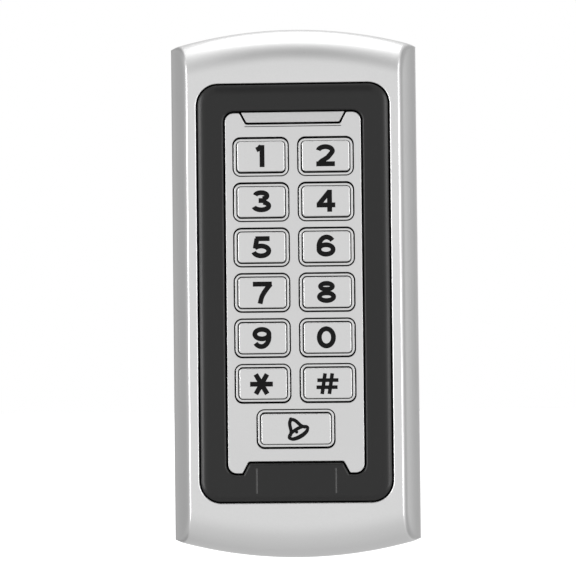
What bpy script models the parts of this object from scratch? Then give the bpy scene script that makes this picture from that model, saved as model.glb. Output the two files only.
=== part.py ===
"""Wall-mounted keypad access reader: a cast metal case with a black window frame, a silver
keypad of thirteen keys and a status light bar, and the electronics and wall plate behind them.

The reader hangs upright with its back on the wall plane Y = 0 and its keys facing -Y.
Everything is placed in a face-on frame, the empty "wall_frame": X to the right, Y up and
Z out of the wall. The empty turns that frame upright into the world's X, Z and -Y.
"""

import math

import bmesh
import bpy
from mathutils import Matrix

MM = 0.001

# Clearance between pieces that touch or nest.
GAP = 0.3 * MM

# The case: plan width and height, and how far its face stands out of the wall.
CASE_WIDTH = 70 * MM
CASE_HEIGHT = 150 * MM
CASE_FACE = 23.8 * MM
CASE_BACK = 1.5 * MM
BOW_RADIUS = 125 * MM
BOW_CENTRE = CASE_HEIGHT / 2 - BOW_RADIUS
CASE_WALL = 3.5 * MM

# The case's ends roll back with this radius, over this length in plan.
ROLL_RADIUS = 11.5 * MM
ROLL_LENGTH = 10.5 * MM

# The scooped strip along each side, from the face's edge back to the side wall.
SCOOP_WIDTH = 4.6 * MM
SCOOP_DEPTH = 9.6 * MM
SCOOP_HOLLOW = 0.45 * MM

# The window frame's pocket, and the opening through its floor.
POCKET_WIDTH = 54.2 * MM
POCKET_HEIGHT = 117.7 * MM
POCKET_RADIUS = 6.1 * MM
POCKET_FLOOR = 21.3 * MM
OPENING_WIDTH = 49 * MM
OPENING_HEIGHT = 112 * MM
OPENING_RADIUS = 4 * MM
CAVITY_FRONT = 18.8 * MM
CAVITY_HALF_WIDTH = CASE_WIDTH / 2 - 2.4 * MM
CAVITY_SHOULDER = 13.5 * MM
CAVITY_NECK = 30.2 * MM

# The black window frame.
FRAME_WIDTH = 53.4 * MM
FRAME_HEIGHT = 116.9 * MM
FRAME_RADIUS = 5.7 * MM
FRAME_FRONT = 24.6 * MM
FRAME_BACK = POCKET_FLOOR + GAP
FRAME_SHOULDER = 0.9 * MM
GROOVE_X = 11.1 * MM
GROOVE_WIDTH = 0.35 * MM
GROOVE_DEPTH = 0.3 * MM
GROOVE_TOP = -49.2 * MM
GROOVE_BOTTOM = -57.2 * MM

# The keypad plate and the two notches in its ends: the light bar's and the frame tab's.
PLATE_WIDTH = 38.3 * MM
PLATE_HEIGHT = 101.4 * MM
PLATE_RADIUS = 2.5 * MM
PLATE_FRONT = 24.0 * MM
PLATE_WEB_BACK = 22.5 * MM
PLATE_BACK = 19.9 * MM
FLANGE_WIDTH = 48 * MM
FLANGE_HEIGHT = 111 * MM
FLANGE_RADIUS = 3.5 * MM
TRAY_WIDTH = 36.4 * MM
TRAY_HEIGHT = 90.6 * MM
NOTCH_DEPTH = 3.3 * MM
NOTCH_INNER = 13.35 * MM
NOTCH_OUTER = 15.1 * MM
NOTCH_RADIUS = 0.5 * MM

# The keys: thirteen on one pitch, the last one wide.
KEY_PITCH_X = 18.24 * MM
KEY_PITCH_Y = 12.76 * MM
KEY_WIDTH = 15.2 * MM
BELL_WIDTH = 21.4 * MM
KEY_HEIGHT = 10.4 * MM
KEY_RADIUS = 1.9 * MM
KEY_GAP = 0.3 * MM
KEY_RIM_FRONT = 23.9 * MM
KEY_PAD_FRONT = 25.0 * MM
KEY_PAD_INSET = 0.75 * MM
KEY_PAD_SLOPE = 0.3 * MM
KEY_EAR = 0.85 * MM
KEY_EAR_THICKNESS = 0.9 * MM
KEY_ROWS = (("1", "2"), ("3", "4"), ("5", "6"), ("7", "8"), ("9", "0"), ("star", "hash"))
KEY_TOP_ROW = 3 * KEY_PITCH_Y

# The rubber mat under the keys.
MAT_WIDTH = 40.4 * MM
MAT_HEIGHT = 103.4 * MM
MAT_FRONT = 19.6 * MM
MAT_BACK = 18.8 * MM
DOME_RADIUS = 4.2 * MM
DOME_TOP_RADIUS = 3.2 * MM

# The status light bar and its three lamps.
BAR_FRONT = 24.1 * MM
BAR_GAP = 0.3 * MM
STEM_WIDTH = 22.6 * MM
STEM_HEIGHT = 2.0 * MM
LAMP_PITCH = 8 * MM
LAMP_Y = PLATE_HEIGHT / 2 - 1.45 * MM

# The aerial coil behind the window frame.
COIL_WIDTH = 47.4 * MM
COIL_HEIGHT = 110.4 * MM
COIL_BAND = 2.8 * MM

# The circuit board and the cover behind it.
BOARD_WIDTH = 59 * MM
BOARD_HEIGHT = 130 * MM
BOARD_FRONT = 18.5 * MM
BOARD_BACK = 16.9 * MM
COVER_WIDTH = 60 * MM
COVER_HEIGHT = 130 * MM
COVER_BACK = 4.5 * MM
COVER_WALL = 1.5 * MM
COVER_FRONT = BOARD_BACK - GAP
SCREW_X = 22 * MM
SCREW_Y = 61.5 * MM
POST_RADIUS = 3.2 * MM

# The cable's way in, through a grommet in the cover and a hole in the wall plate.
CABLE_Y = -18 * MM
GROMMET_BORE = 3.6 * MM
GROMMET_NECK = 6.0 * MM
GROMMET_FLANGE = 8.0 * MM
CABLE_HOLE_RADIUS = 9 * MM
SENSOR_X = 18 * MM
SENSOR_Y = -30 * MM
SENSOR_RADIUS = 2.4 * MM

# The sheet-metal wall plate, its wall-screw holes, its hooks and its locking tab.
SHEET = 1.5 * MM
WALL_PLATE_HALF_WIDTH = 32.3 * MM
WALL_HOLE_X = 22 * MM
WALL_HOLE_Y = 50 * MM
WALL_HOLE_RADIUS = 2.1 * MM
BOX_SLOT_Y = 41.75 * MM
BOX_SLOT_LENGTH = 9 * MM
HOOK_X = 12 * MM
HOOK_WIDTH = 8 * MM
TAB_WIDTH = 14 * MM
TAB_TOP = -69.1 * MM
LOCK_Z = 6 * MM

SILVER = (0.62, 0.62, 0.63)
BLACK = (0.03, 0.03, 0.032)
MATERIALS = {
    "cast_case": (SILVER, 0.35, 1.0),
    "frame_black": (BLACK, 0.3, 0.0),
    "plate_silver": ((0.6, 0.6, 0.61), 0.4, 0.9),
    "key_metal": ((0.66, 0.66, 0.67), 0.3, 1.0),
    "light_bar": ((0.7, 0.7, 0.7), 0.35, 0.0),
    "mat_rubber": ((0.35, 0.36, 0.38), 0.8, 0.0),
    "copper_wire": ((0.72, 0.33, 0.16), 0.4, 1.0),
    "board_green": ((0.02, 0.2, 0.07), 0.5, 0.0),
    "part_black": ((0.02, 0.02, 0.02), 0.5, 0.0),
    "part_blue": ((0.05, 0.15, 0.5), 0.4, 0.0),
    "part_white": ((0.85, 0.83, 0.78), 0.5, 0.0),
    "part_metal": ((0.6, 0.6, 0.58), 0.35, 1.0),
    "lamp_red": ((0.8, 0.05, 0.05), 0.3, 0.0),
    "lamp_green": ((0.05, 0.7, 0.1), 0.3, 0.0),
    "lamp_amber": ((0.9, 0.5, 0.05), 0.3, 0.0),
    "cover_plastic": ((0.05, 0.05, 0.055), 0.6, 0.0),
    "seal_rubber": ((0.03, 0.03, 0.03), 0.85, 0.0),
    "zinc_sheet": ((0.55, 0.56, 0.57), 0.4, 1.0),
    "screw_steel": ((0.5, 0.5, 0.5), 0.3, 1.0),
}


def clear_scene():
    for old in list(bpy.data.objects):
        bpy.data.objects.remove(old)


def new_collection(name):
    collection = bpy.data.collections.new(name)
    bpy.context.scene.collection.children.link(collection)
    return collection


def make_material(name):
    colour, roughness, metallic = MATERIALS[name]
    material = bpy.data.materials.new(name)
    material.use_nodes = True
    shader = material.node_tree.nodes["Principled BSDF"]
    shader.inputs["Base Color"].default_value = (*colour, 1)
    shader.inputs["Roughness"].default_value = roughness
    shader.inputs["Metallic"].default_value = metallic
    return material


# ---------------------------------------------------------------- outlines

def arc_points(centre_x, centre_y, radius, start, end, steps):
    """Points of an arc from angle start to angle end, both ends included."""
    angles = [start + (end - start) * step / steps for step in range(steps + 1)]
    return [(centre_x + radius * math.cos(a), centre_y + radius * math.sin(a)) for a in angles]


def filleted(corners, steps=4):
    """A closed outline through corners (x, y, radius), each one rounded with its own radius."""
    outline = []
    for index, (x, y, radius) in enumerate(corners):
        before = corners[index - 1]
        after = corners[(index + 1) % len(corners)]
        if radius == 0:
            outline.append((x, y))
            continue
        to_before = math.atan2(before[1] - y, before[0] - x)
        to_after = math.atan2(after[1] - y, after[0] - x)
        turn = (to_after - to_before + math.pi) % (2 * math.pi) - math.pi
        half = abs(turn) / 2
        reach = radius / math.sin(half)
        middle = to_before + turn / 2
        centre_x = x + reach * math.cos(middle)
        centre_y = y + reach * math.sin(middle)
        sweep = math.copysign(math.pi / 2 - half, turn)
        outline += arc_points(
            centre_x, centre_y, radius, middle + math.pi + sweep, middle + math.pi - sweep, steps
        )
    return outline


def rounded_rectangle(width, height, radius, steps=4):
    x = width / 2
    y = height / 2
    return filleted([(x, y, radius), (-x, y, radius), (-x, -y, radius), (x, -y, radius)], steps)


def bowed_outline(half_width, radius, steps=12):
    """Straight sides, with a top and a bottom that are arcs about the case's bow centres."""
    reach = math.asin(half_width / radius)
    top = arc_points(0, BOW_CENTRE, radius, math.pi / 2 - reach, math.pi / 2 + reach, steps)
    return top + [(-x, -y) for x, y in top]


def keypad_outline(width, height, radius, inner, outer, top_notch):
    """A rounded panel with a notch in its bottom edge and, if asked, the same in its top edge."""
    x = width / 2
    y = height / 2
    floor = y - NOTCH_DEPTH
    top = [(outer, y, 0), (inner, floor, NOTCH_RADIUS), (-inner, floor, NOTCH_RADIUS), (-outer, y, 0)]
    bottom = [(-a, -b, r) for a, b, r in top]
    corners = [(x, y, radius)] + (top if top_notch else []) + [(-x, y, radius), (-x, -y, radius)]
    return filleted(corners + bottom + [(x, -y, radius)])


# ---------------------------------------------------------------- shapes

class Workshop:
    """Holds the frame empty, the two collections and the materials that the shapes go into."""

    def __init__(self):
        clear_scene()
        self.parts = new_collection("keypad_access_reader")
        self.cutters = new_collection("cutters")
        self.frame = bpy.data.objects.new("wall_frame", None)
        self.frame.rotation_euler = (math.pi / 2, 0, 0)
        self.parts.objects.link(self.frame)
        self.materials = {name: make_material(name) for name in MATERIALS}

    def place(self, name, mesh, place, turn=(0, 0, 0), material=None):
        """Puts a mesh in the frame: as a part if it has a material, or else as a cutter."""
        piece = bpy.data.objects.new(name, mesh)
        piece.parent = self.frame
        piece.location = place
        piece.rotation_euler = turn
        if material:
            self.parts.objects.link(piece)
            mesh.materials.append(self.materials[material])
        else:
            self.cutters.objects.link(piece)
            piece.hide_render = True
            piece.display_type = "WIRE"
        return piece

    def from_bmesh(self, name, shape, place, material=None):
        mesh = bpy.data.meshes.new(name)
        shape.to_mesh(mesh)
        shape.free()
        return self.place(name, mesh, place, material=material)

    def sheet(self, name, outlines, back, front, material=None, place=(0, 0), turn=(0, 0, 0)):
        """A flat piece from back to front: the first outline, with the others as holes in it."""
        curve = bpy.data.curves.new(name, "CURVE")
        curve.dimensions = "2D"
        curve.fill_mode = "BOTH"
        curve.extrude = (front - back) / 2
        for outline in outlines:
            spline = curve.splines.new("POLY")
            spline.points.add(len(outline) - 1)
            for point, (x, y) in zip(spline.points, outline):
                point.co = (x, y, 0, 1)
            spline.use_cyclic_u = True
        guide = bpy.data.objects.new(name + "_guide", curve)
        self.cutters.objects.link(guide)
        graph = bpy.context.evaluated_depsgraph_get()
        mesh = bpy.data.meshes.new_from_object(guide.evaluated_get(graph))
        bpy.data.objects.remove(guide)
        shape = bmesh.new()
        shape.from_mesh(mesh)
        bmesh.ops.remove_doubles(shape, verts=shape.verts, dist=0.001 * MM)
        bmesh.ops.recalc_face_normals(shape, faces=shape.faces)
        shape.to_mesh(mesh)
        shape.free()
        mesh.name = name
        mesh.materials.clear()
        return self.place(name, mesh, (*place, (front + back) / 2), turn, material)

    def turned(self, name, profile, place, steps=24, material=None, turn=(0, 0, 0)):
        """A profile of (radius, height) points, running down its outer side, turned about Z.

        A profile that ends where it starts is a ring's.
        """
        ring = profile[0] == profile[-1]
        points = [(radius, 0, height) for radius, height in (profile[:-1] if ring else profile)]
        edges = [(i, (i + 1) % len(points)) for i in range(len(points) - (0 if ring else 1))]
        mesh = bpy.data.meshes.new(name)
        mesh.from_pydata(points, edges, [])
        piece = self.place(name, mesh, place, turn, material)
        screw = piece.modifiers.new("turn", "SCREW")
        screw.steps = steps
        screw.render_steps = steps
        screw.use_merge_vertices = True
        screw.merge_threshold = 0.01 * MM
        screw.use_smooth_shade = True
        return piece

    def cylinder(self, name, radius, back, front, place, material=None, sides=24, turn=(0, 0, 0)):
        shape = bmesh.new()
        add_cylinder(shape, radius, back, front, (0, 0), sides)
        mesh = bpy.data.meshes.new(name)
        shape.to_mesh(mesh)
        shape.free()
        return self.place(name, mesh, (*place, 0), turn, material)


def boolean(piece, other, operation="DIFFERENCE"):
    modifier = piece.modifiers.new(operation.lower() + "_" + other.name, "BOOLEAN")
    modifier.operation = operation
    modifier.object = other


def add_block(shape, width, height, back, front, place=(0, 0), radius=0, segments=4):
    """Adds a box from back to front, its four edges along Z rounded, and returns its vertices."""
    made = bmesh.ops.create_cube(shape, size=1)["verts"]
    bmesh.ops.scale(shape, vec=(width, height, front - back), verts=made)
    bmesh.ops.translate(shape, vec=(*place, (front + back) / 2), verts=made)
    if radius:
        along_z = {
            edge for vert in made for edge in vert.link_edges
            if abs(edge.verts[0].co.z - edge.verts[1].co.z) > (front - back) / 2
        }
        bmesh.ops.bevel(
            shape, geom=list(along_z), offset=radius, offset_type="OFFSET",
            affect="EDGES", segments=segments, profile=0.5, material=-1,
        )


def add_cylinder(shape, radius, back, front, place=(0, 0), sides=24, top_radius=None):
    bmesh.ops.create_cone(
        shape, cap_ends=True, segments=sides, radius1=radius,
        radius2=radius if top_radius is None else top_radius, depth=front - back,
        matrix=Matrix.Translation((*place, (front + back) / 2)),
    )


def block_shape(*sizes, **options):
    shape = bmesh.new()
    add_block(shape, *sizes, **options)
    return shape


def step_up(shape, inset, rise, sloped=False):
    """Insets the topmost face and raises what is left of it, upright or at a slope."""
    top = max(shape.faces, key=lambda face: face.calc_center_median().z)
    if inset:
        depth = rise if sloped else 0
        bmesh.ops.inset_region(
            shape, faces=[top], thickness=inset, depth=depth, use_even_offset=True
        )
    if not sloped:
        raised = bmesh.ops.extrude_discrete_faces(shape, faces=[top])["faces"]
        bmesh.ops.translate(shape, vec=(0, 0, rise), verts=raised[0].verts)


def soften(shape, edges, offset, segments=2):
    bmesh.ops.bevel(
        shape, geom=edges, offset=offset, offset_type="OFFSET",
        affect="EDGES", segments=segments, profile=0.5, material=-1,
    )


def shade_round(piece, angle=40):
    piece.data.shade_smooth()
    piece.data.set_sharp_from_angle(angle=math.radians(angle))


# ---------------------------------------------------------------- the case

def scoop_profile():
    """The case's cross-section in X and Z, with a hollowed strip down each side."""
    side = CASE_WIDTH / 2
    outer = (side, CASE_FACE - SCOOP_DEPTH)
    inner = (side - SCOOP_WIDTH, CASE_FACE)
    slant = math.hypot(SCOOP_WIDTH, SCOOP_DEPTH)
    strip = []
    for step in range(7):
        share = step / 6
        hollow = SCOOP_HOLLOW * 4 * share * (1 - share)
        strip.append((
            outer[0] + (inner[0] - outer[0]) * share - hollow * SCOOP_DEPTH / slant,
            outer[1] + (inner[1] - outer[1]) * share - hollow * SCOOP_WIDTH / slant,
        ))
    right = [(side, CASE_BACK)] + strip
    return right + [(-x, z) for x, z in reversed(right)]


def roll_profile():
    """A disc whose front edge rolls back as the case's ends do, and which clears its face."""
    end = math.asin(ROLL_LENGTH / ROLL_RADIUS)
    start = BOW_RADIUS - ROLL_LENGTH
    above = CASE_FACE + 2 * MM
    rolled = arc_points(
        start, CASE_FACE - ROLL_RADIUS, ROLL_RADIUS, math.pi / 2, math.pi / 2 - end, 7
    )
    return [(0, above), (start - 5 * MM, above)] + rolled + [(BOW_RADIUS, 0), (0, 0)]


def make_cavity(shop):
    """The hollow behind the case's front wall, narrowing towards it as the case does."""
    wide = CAVITY_HALF_WIDTH
    right = [(wide, -1 * MM), (wide, CAVITY_SHOULDER), (CAVITY_NECK, CAVITY_FRONT)]
    section = right + [(-x, z) for x, z in reversed(right)]
    cavity = shop.sheet(
        "cavity", [section], -CASE_HEIGHT / 2, CASE_HEIGHT / 2, turn=(math.pi / 2, 0, 0)
    )
    for end in (1, -1):
        disc = shop.cylinder(
            f"cavity_end_{end}", BOW_RADIUS - CASE_WALL, -2 * MM, CASE_FACE,
            (0, end * BOW_CENTRE), sides=144,
        )
        boolean(cavity, disc, "INTERSECT")
    return cavity


def make_case(shop):
    case = shop.sheet(
        "front_housing", [scoop_profile()], -CASE_HEIGHT / 2 - MM, CASE_HEIGHT / 2 + MM,
        "cast_case", turn=(math.pi / 2, 0, 0),
    )
    for end in (1, -1):
        disc = shop.turned(f"rolled_end_{end}", roll_profile(), (0, end * BOW_CENTRE, 0), steps=144)
        boolean(case, disc, "INTERSECT")
    boolean(case, make_cavity(shop))

    front = bmesh.new()
    add_block(front, POCKET_WIDTH, POCKET_HEIGHT, POCKET_FLOOR, 26 * MM,
              radius=POCKET_RADIUS, segments=6)
    boolean(case, shop.from_bmesh("frame_pocket", front, (0, 0, 0)))
    through = block_shape(
        OPENING_WIDTH, OPENING_HEIGHT, 17 * MM, 22 * MM, radius=OPENING_RADIUS
    )
    boolean(case, shop.from_bmesh("case_opening", through, (0, 0, 0)))

    holes = bmesh.new()
    for x, y in corner_places():
        add_cylinder(holes, 1.45 * MM, 17 * MM, 21.6 * MM, (x, y), sides=12)
    boolean(case, shop.from_bmesh("case_screw_holes", holes, (0, 0, 0)))

    ribs = bmesh.new()
    for side in (-1, 1):
        add_block(ribs, 12 * MM, 3 * MM, 3.7 * MM, 5.2 * MM, (side * HOOK_X, 70.5 * MM))
    boolean(case, shop.from_bmesh("hook_ribs", ribs, (0, 0, 0)), "UNION")

    lock = shop.turned(
        "lock_hole",
        [(0, 5 * MM), (1.8 * MM, 5 * MM), (1.8 * MM, 1.6 * MM), (3.3 * MM, 1.6 * MM),
         (3.3 * MM, -1 * MM), (0, -1 * MM)],
        (0, -CASE_HEIGHT / 2, LOCK_Z), steps=20, turn=(-math.pi / 2, 0, 0),
    )
    boolean(case, lock)
    shade_round(case, 25)


def make_window_frame(shop):
    inner_width = PLATE_WIDTH + 2 * 0.35 * MM
    inner_height = PLATE_HEIGHT + 2 * GAP
    outer = rounded_rectangle(FRAME_WIDTH, FRAME_HEIGHT, FRAME_RADIUS, 6)
    inner = keypad_outline(
        inner_width, inner_height, PLATE_RADIUS + GAP,
        NOTCH_INNER - 0.2 * MM, NOTCH_OUTER - 0.2 * MM, top_notch=False,
    )
    frame = shop.sheet("window_frame", [outer, inner], FRAME_BACK, FRAME_FRONT, "frame_black")
    shape = bmesh.new()
    shape.from_mesh(frame.data)
    top = (FRAME_FRONT - FRAME_BACK) / 2
    rim = [
        edge for edge in shape.edges
        if all(vert.co.z > top * 0.99 for vert in edge.verts)
        and edge.calc_face_angle(0) > 1
        and all(abs(v.co.x) > inner_width / 2 + MM or abs(v.co.y) > inner_height / 2 + MM
                for v in edge.verts)
    ]
    soften(shape, rim, FRAME_SHOULDER)
    shape.to_mesh(frame.data)
    shape.free()
    grooves = bmesh.new()
    for side in (-1, 1):
        add_block(
            grooves, GROOVE_WIDTH, GROOVE_TOP - GROOVE_BOTTOM, FRAME_FRONT - GROOVE_DEPTH,
            26 * MM, (side * GROOVE_X, (GROOVE_TOP + GROOVE_BOTTOM) / 2),
        )
    boolean(frame, shop.from_bmesh("frame_grooves", grooves, (0, 0, 0)))
    shade_round(frame)


# ---------------------------------------------------------------- the keypad

def key_places():
    """Each key's name, place and body width, row by row from the top."""
    places = []
    for row, names in enumerate(KEY_ROWS):
        for side, name in zip((-1, 1), names):
            y = KEY_TOP_ROW - row * KEY_PITCH_Y
            places.append((name, side * KEY_PITCH_X / 2, y, KEY_WIDTH))
    places.append(("bell", 0, -KEY_TOP_ROW, BELL_WIDTH))
    return places


def make_keypad_plate(shop):
    outline = keypad_outline(
        PLATE_WIDTH, PLATE_HEIGHT, PLATE_RADIUS, NOTCH_INNER, NOTCH_OUTER, top_notch=True
    )
    plate = shop.sheet("keypad_plate", [outline], 21.2 * MM, PLATE_FRONT, "plate_silver")
    flange = rounded_rectangle(FLANGE_WIDTH, FLANGE_HEIGHT, FLANGE_RADIUS)
    boolean(plate, shop.sheet("plate_flange", [flange], PLATE_BACK, POCKET_FLOOR), "UNION")
    tray = block_shape(TRAY_WIDTH, TRAY_HEIGHT, 19 * MM, PLATE_WEB_BACK, radius=2 * MM)
    boolean(plate, shop.from_bmesh("plate_tray", tray, (0, 0, 0)))
    windows = bmesh.new()
    for _, x, y, width in key_places():
        add_block(
            windows, width + 2 * KEY_GAP, KEY_HEIGHT + 2 * KEY_GAP, 22 * MM, 25 * MM, (x, y),
            radius=KEY_RADIUS + KEY_GAP,
        )
    boolean(plate, shop.from_bmesh("key_windows", windows, (0, 0, 0)))
    slot = block_shape(
        STEM_WIDTH + 2 * GAP, STEM_HEIGHT + 2 * GAP, 19 * MM, 22 * MM, place=(0, LAMP_Y)
    )
    boolean(plate, shop.from_bmesh("light_slot", slot, (0, 0, 0)))
    shade_round(plate)


def make_keys(shop):
    ear_front = PLATE_WEB_BACK - GAP
    ear_back = ear_front - KEY_EAR_THICKNESS
    for name, x, y, width in key_places():
        key = block_shape(
            width + 2 * KEY_EAR, KEY_HEIGHT + 2 * KEY_EAR, 0, KEY_EAR_THICKNESS,
            radius=KEY_RADIUS + KEY_EAR, segments=4,
        )
        step_up(key, KEY_EAR, KEY_RIM_FRONT - ear_front)
        step_up(key, KEY_PAD_INSET, 0.7 * (KEY_PAD_FRONT - KEY_RIM_FRONT))
        step_up(key, KEY_PAD_SLOPE, 0.3 * (KEY_PAD_FRONT - KEY_RIM_FRONT), sloped=True)
        shade_round(shop.from_bmesh("key_" + name, key, (x, y, ear_back), "key_metal"))


def make_light_bar(shop):
    top = PLATE_HEIGHT / 2
    floor = top - NOTCH_DEPTH + BAR_GAP
    inner = NOTCH_INNER - BAR_GAP
    outer = NOTCH_OUTER - BAR_GAP
    outline = filleted([
        (outer, top, 0), (-outer, top, 0),
        (-inner, floor, NOTCH_RADIUS), (inner, floor, NOTCH_RADIUS),
    ])
    bar = shop.sheet("light_bar", [outline], POCKET_FLOOR + GAP, BAR_FRONT, "light_bar")
    stem = block_shape(STEM_WIDTH, STEM_HEIGHT, 20.2 * MM, 22 * MM, place=(0, LAMP_Y))
    boolean(bar, shop.from_bmesh("light_stem", stem, (0, 0, 0)), "UNION")


def make_mat(shop):
    openings = [
        [(x + lamp * LAMP_PITCH, y + LAMP_Y) for x, y in rounded_rectangle(4 * MM, 2.6 * MM, 0, 1)]
        for lamp in (-1, 0, 1)
    ]
    outline = rounded_rectangle(MAT_WIDTH, MAT_HEIGHT, 2 * MM)
    mat = shop.sheet("keypad_mat", [outline] + openings, MAT_BACK, MAT_FRONT, "mat_rubber")
    ear_back = PLATE_WEB_BACK - GAP - KEY_EAR_THICKNESS
    domes = bmesh.new()
    for _, x, y, _ in key_places():
        add_cylinder(domes, DOME_RADIUS, MAT_FRONT - 0.3 * MM, ear_back - GAP, (x, y),
                     sides=12, top_radius=DOME_TOP_RADIUS)
    boolean(mat, shop.from_bmesh("mat_domes", domes, (0, 0, 0)), "UNION")


# ---------------------------------------------------------------- electronics

def corner_places():
    return [(x * SCREW_X, y * SCREW_Y) for y in (1, -1) for x in (-1, 1)]


def make_board(shop):
    outline = rounded_rectangle(BOARD_WIDTH, BOARD_HEIGHT, 2 * MM)
    holes = [arc_points(x, y, 1.6 * MM, 0, math.tau * 11 / 12, 11) for x, y in corner_places()]
    shop.sheet("main_board", [outline] + holes, BOARD_BACK, BOARD_FRONT, "board_green")
    coil_outer = rounded_rectangle(COIL_WIDTH, COIL_HEIGHT, 4 * MM)
    coil_inner = rounded_rectangle(
        COIL_WIDTH - 2 * COIL_BAND, COIL_HEIGHT - 2 * COIL_BAND, 1.2 * MM
    )
    shop.sheet("aerial_coil", [coil_outer, coil_inner], MAT_BACK, MAT_FRONT, "copper_wire")
    for lamp, colour in enumerate(("red", "green", "amber")):
        shape = block_shape(3 * MM, 2 * MM, BOARD_FRONT + GAP, 19.7 * MM)
        step_up(shape, 0.4 * MM, 0.2 * MM, sloped=True)
        shop.from_bmesh(
            "lamp_" + colour, shape, ((lamp - 1) * LAMP_PITCH, LAMP_Y, 0), "lamp_" + colour
        )


def make_components(shop):
    """The tall and flat parts on the back of the board, standing towards the wall."""
    foot = BOARD_BACK - GAP

    def boxed(name, width, height, tall, place, material, edge=0.4 * MM):
        shape = block_shape(width, height, foot - tall, foot, radius=edge, segments=2)
        shop.from_bmesh(name, shape, (*place, 0), material)

    def round_can(name, radius, tall, place, material, rim=0.5 * MM):
        profile = [
            (0, foot), (radius, foot), (radius, foot - tall + rim),
            (radius - rim, foot - tall), (0, foot - tall),
        ]
        shop.turned(name, profile, (*place, 0), steps=20, material=material)

    boxed("relay", 19 * MM, 10.5 * MM, 9.8 * MM, (-13 * MM, 36 * MM), "part_blue", 0.8 * MM)
    boxed("controller_chip", 12 * MM, 12 * MM, 1.5 * MM, (5 * MM, 8 * MM), "part_black")
    boxed("reader_chip", 6 * MM, 8 * MM, 1.5 * MM, (-10 * MM, -2 * MM), "part_black")
    boxed("voltage_regulator", 6.5 * MM, 9 * MM, 2.3 * MM, (-21 * MM, 4 * MM), "part_black")
    boxed("crystal", 11 * MM, 4.5 * MM, 3.4 * MM, (20 * MM, 18 * MM), "part_metal", 1.8 * MM)
    boxed("wire_header", 28 * MM, 6.5 * MM, 7.5 * MM, (0, -44 * MM), "part_white")
    round_can("buzzer", 6 * MM, 8 * MM, (14 * MM, 38 * MM), "part_black")
    round_can("capacitor", 4 * MM, 9.2 * MM, (-21 * MM, 20 * MM), "part_metal")
    round_can(
        "tamper_sensor", SENSOR_RADIUS, 9.2 * MM, (SENSOR_X, SENSOR_Y), "part_white", 0.8 * MM
    )


def make_cover(shop):
    cover = shop.from_bmesh(
        "back_cover", block_shape(COVER_WIDTH, COVER_HEIGHT, COVER_BACK, COVER_FRONT,
                                  radius=3 * MM, segments=3),
        (0, 0, 0), "cover_plastic",
    )
    inside = block_shape(
        COVER_WIDTH - 2 * COVER_WALL, COVER_HEIGHT - 2 * COVER_WALL,
        COVER_BACK + COVER_WALL, COVER_FRONT + MM, radius=1.5 * MM, segments=2,
    )
    boolean(cover, shop.from_bmesh("cover_inside", inside, (0, 0, 0)))
    posts = bmesh.new()
    holes = bmesh.new()
    for place in corner_places():
        add_cylinder(posts, POST_RADIUS, COVER_BACK + MM, COVER_FRONT, place, sides=16)
        add_cylinder(holes, 1.5 * MM, COVER_BACK - MM, COVER_FRONT + MM, place, sides=12)
    add_cylinder(
        holes, GROMMET_NECK + GAP, COVER_BACK - MM, COVER_BACK + 2.5 * MM, (0, CABLE_Y)
    )
    add_cylinder(holes, SENSOR_RADIUS + GAP, COVER_BACK - MM, COVER_BACK + 2.5 * MM,
                 (SENSOR_X, SENSOR_Y), sides=16)
    boolean(cover, shop.from_bmesh("cover_posts", posts, (0, 0, 0)), "UNION")
    boolean(cover, shop.from_bmesh("cover_holes", holes, (0, 0, 0)))


def make_screw(shop, name, head_radius, head_height, shank_radius, length, place, turn, sides):
    """A pan-head screw whose head's underside is at Z = 0 and whose shank runs up from it."""
    profile = [
        (0, length), (shank_radius - 0.3 * MM, length), (shank_radius, length - 0.5 * MM),
        (shank_radius, 0), (head_radius, 0), (head_radius, -0.6 * head_height),
        (0.75 * head_radius, -head_height), (0, -head_height),
    ]
    screw = shop.turned(name, profile, place, steps=16, material="screw_steel", turn=turn)
    drive = bmesh.new()
    add_cylinder(drive, 0.45 * head_radius, -head_height - MM, -0.4 * head_height, sides=sides)
    cutter = shop.from_bmesh(name + "_drive", drive, place)
    cutter.rotation_euler = turn
    boolean(screw, cutter)


def make_screws(shop):
    for number, (x, y) in enumerate(corner_places(), start=1):
        make_screw(shop, f"cover_screw_{number}", 2.5 * MM, 1.5 * MM, 1.15 * MM, 17 * MM,
                   (x, y, COVER_BACK - GAP), (0, 0, 0), 4)
    make_screw(shop, "locking_screw", 3.0 * MM, 1.1 * MM, 1.45 * MM, 7 * MM,
               (0, -CASE_HEIGHT / 2 + 1.3 * MM, LOCK_Z), (-math.pi / 2, 0, 0), 6)


def make_grommet(shop):
    front_lip = COVER_BACK + COVER_WALL + GAP
    back_lip = COVER_BACK - GAP
    lip = 1.2 * MM
    profile = [
        (GROMMET_BORE, front_lip + lip), (GROMMET_FLANGE - 0.5 * MM, front_lip + lip),
        (GROMMET_FLANGE, front_lip + 0.5 * lip), (GROMMET_FLANGE, front_lip),
        (GROMMET_NECK, front_lip), (GROMMET_NECK, back_lip), (GROMMET_FLANGE, back_lip),
        (GROMMET_FLANGE - 0.5 * MM, back_lip - lip), (GROMMET_BORE, back_lip - lip),
        (GROMMET_BORE, front_lip + lip),
    ]
    shop.turned("cable_grommet", profile, (0, CABLE_Y, 0), steps=20, material="seal_rubber")


# ---------------------------------------------------------------- the wall side

def make_gasket(shop):
    outer = bowed_outline(CASE_WIDTH / 2 - 0.2 * MM, BOW_RADIUS - 0.2 * MM)
    inner = bowed_outline(33 * MM, BOW_RADIUS - 3.1 * MM)
    shop.sheet("wall_gasket", [outer, inner], 0, CASE_BACK - GAP, "seal_rubber")


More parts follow.
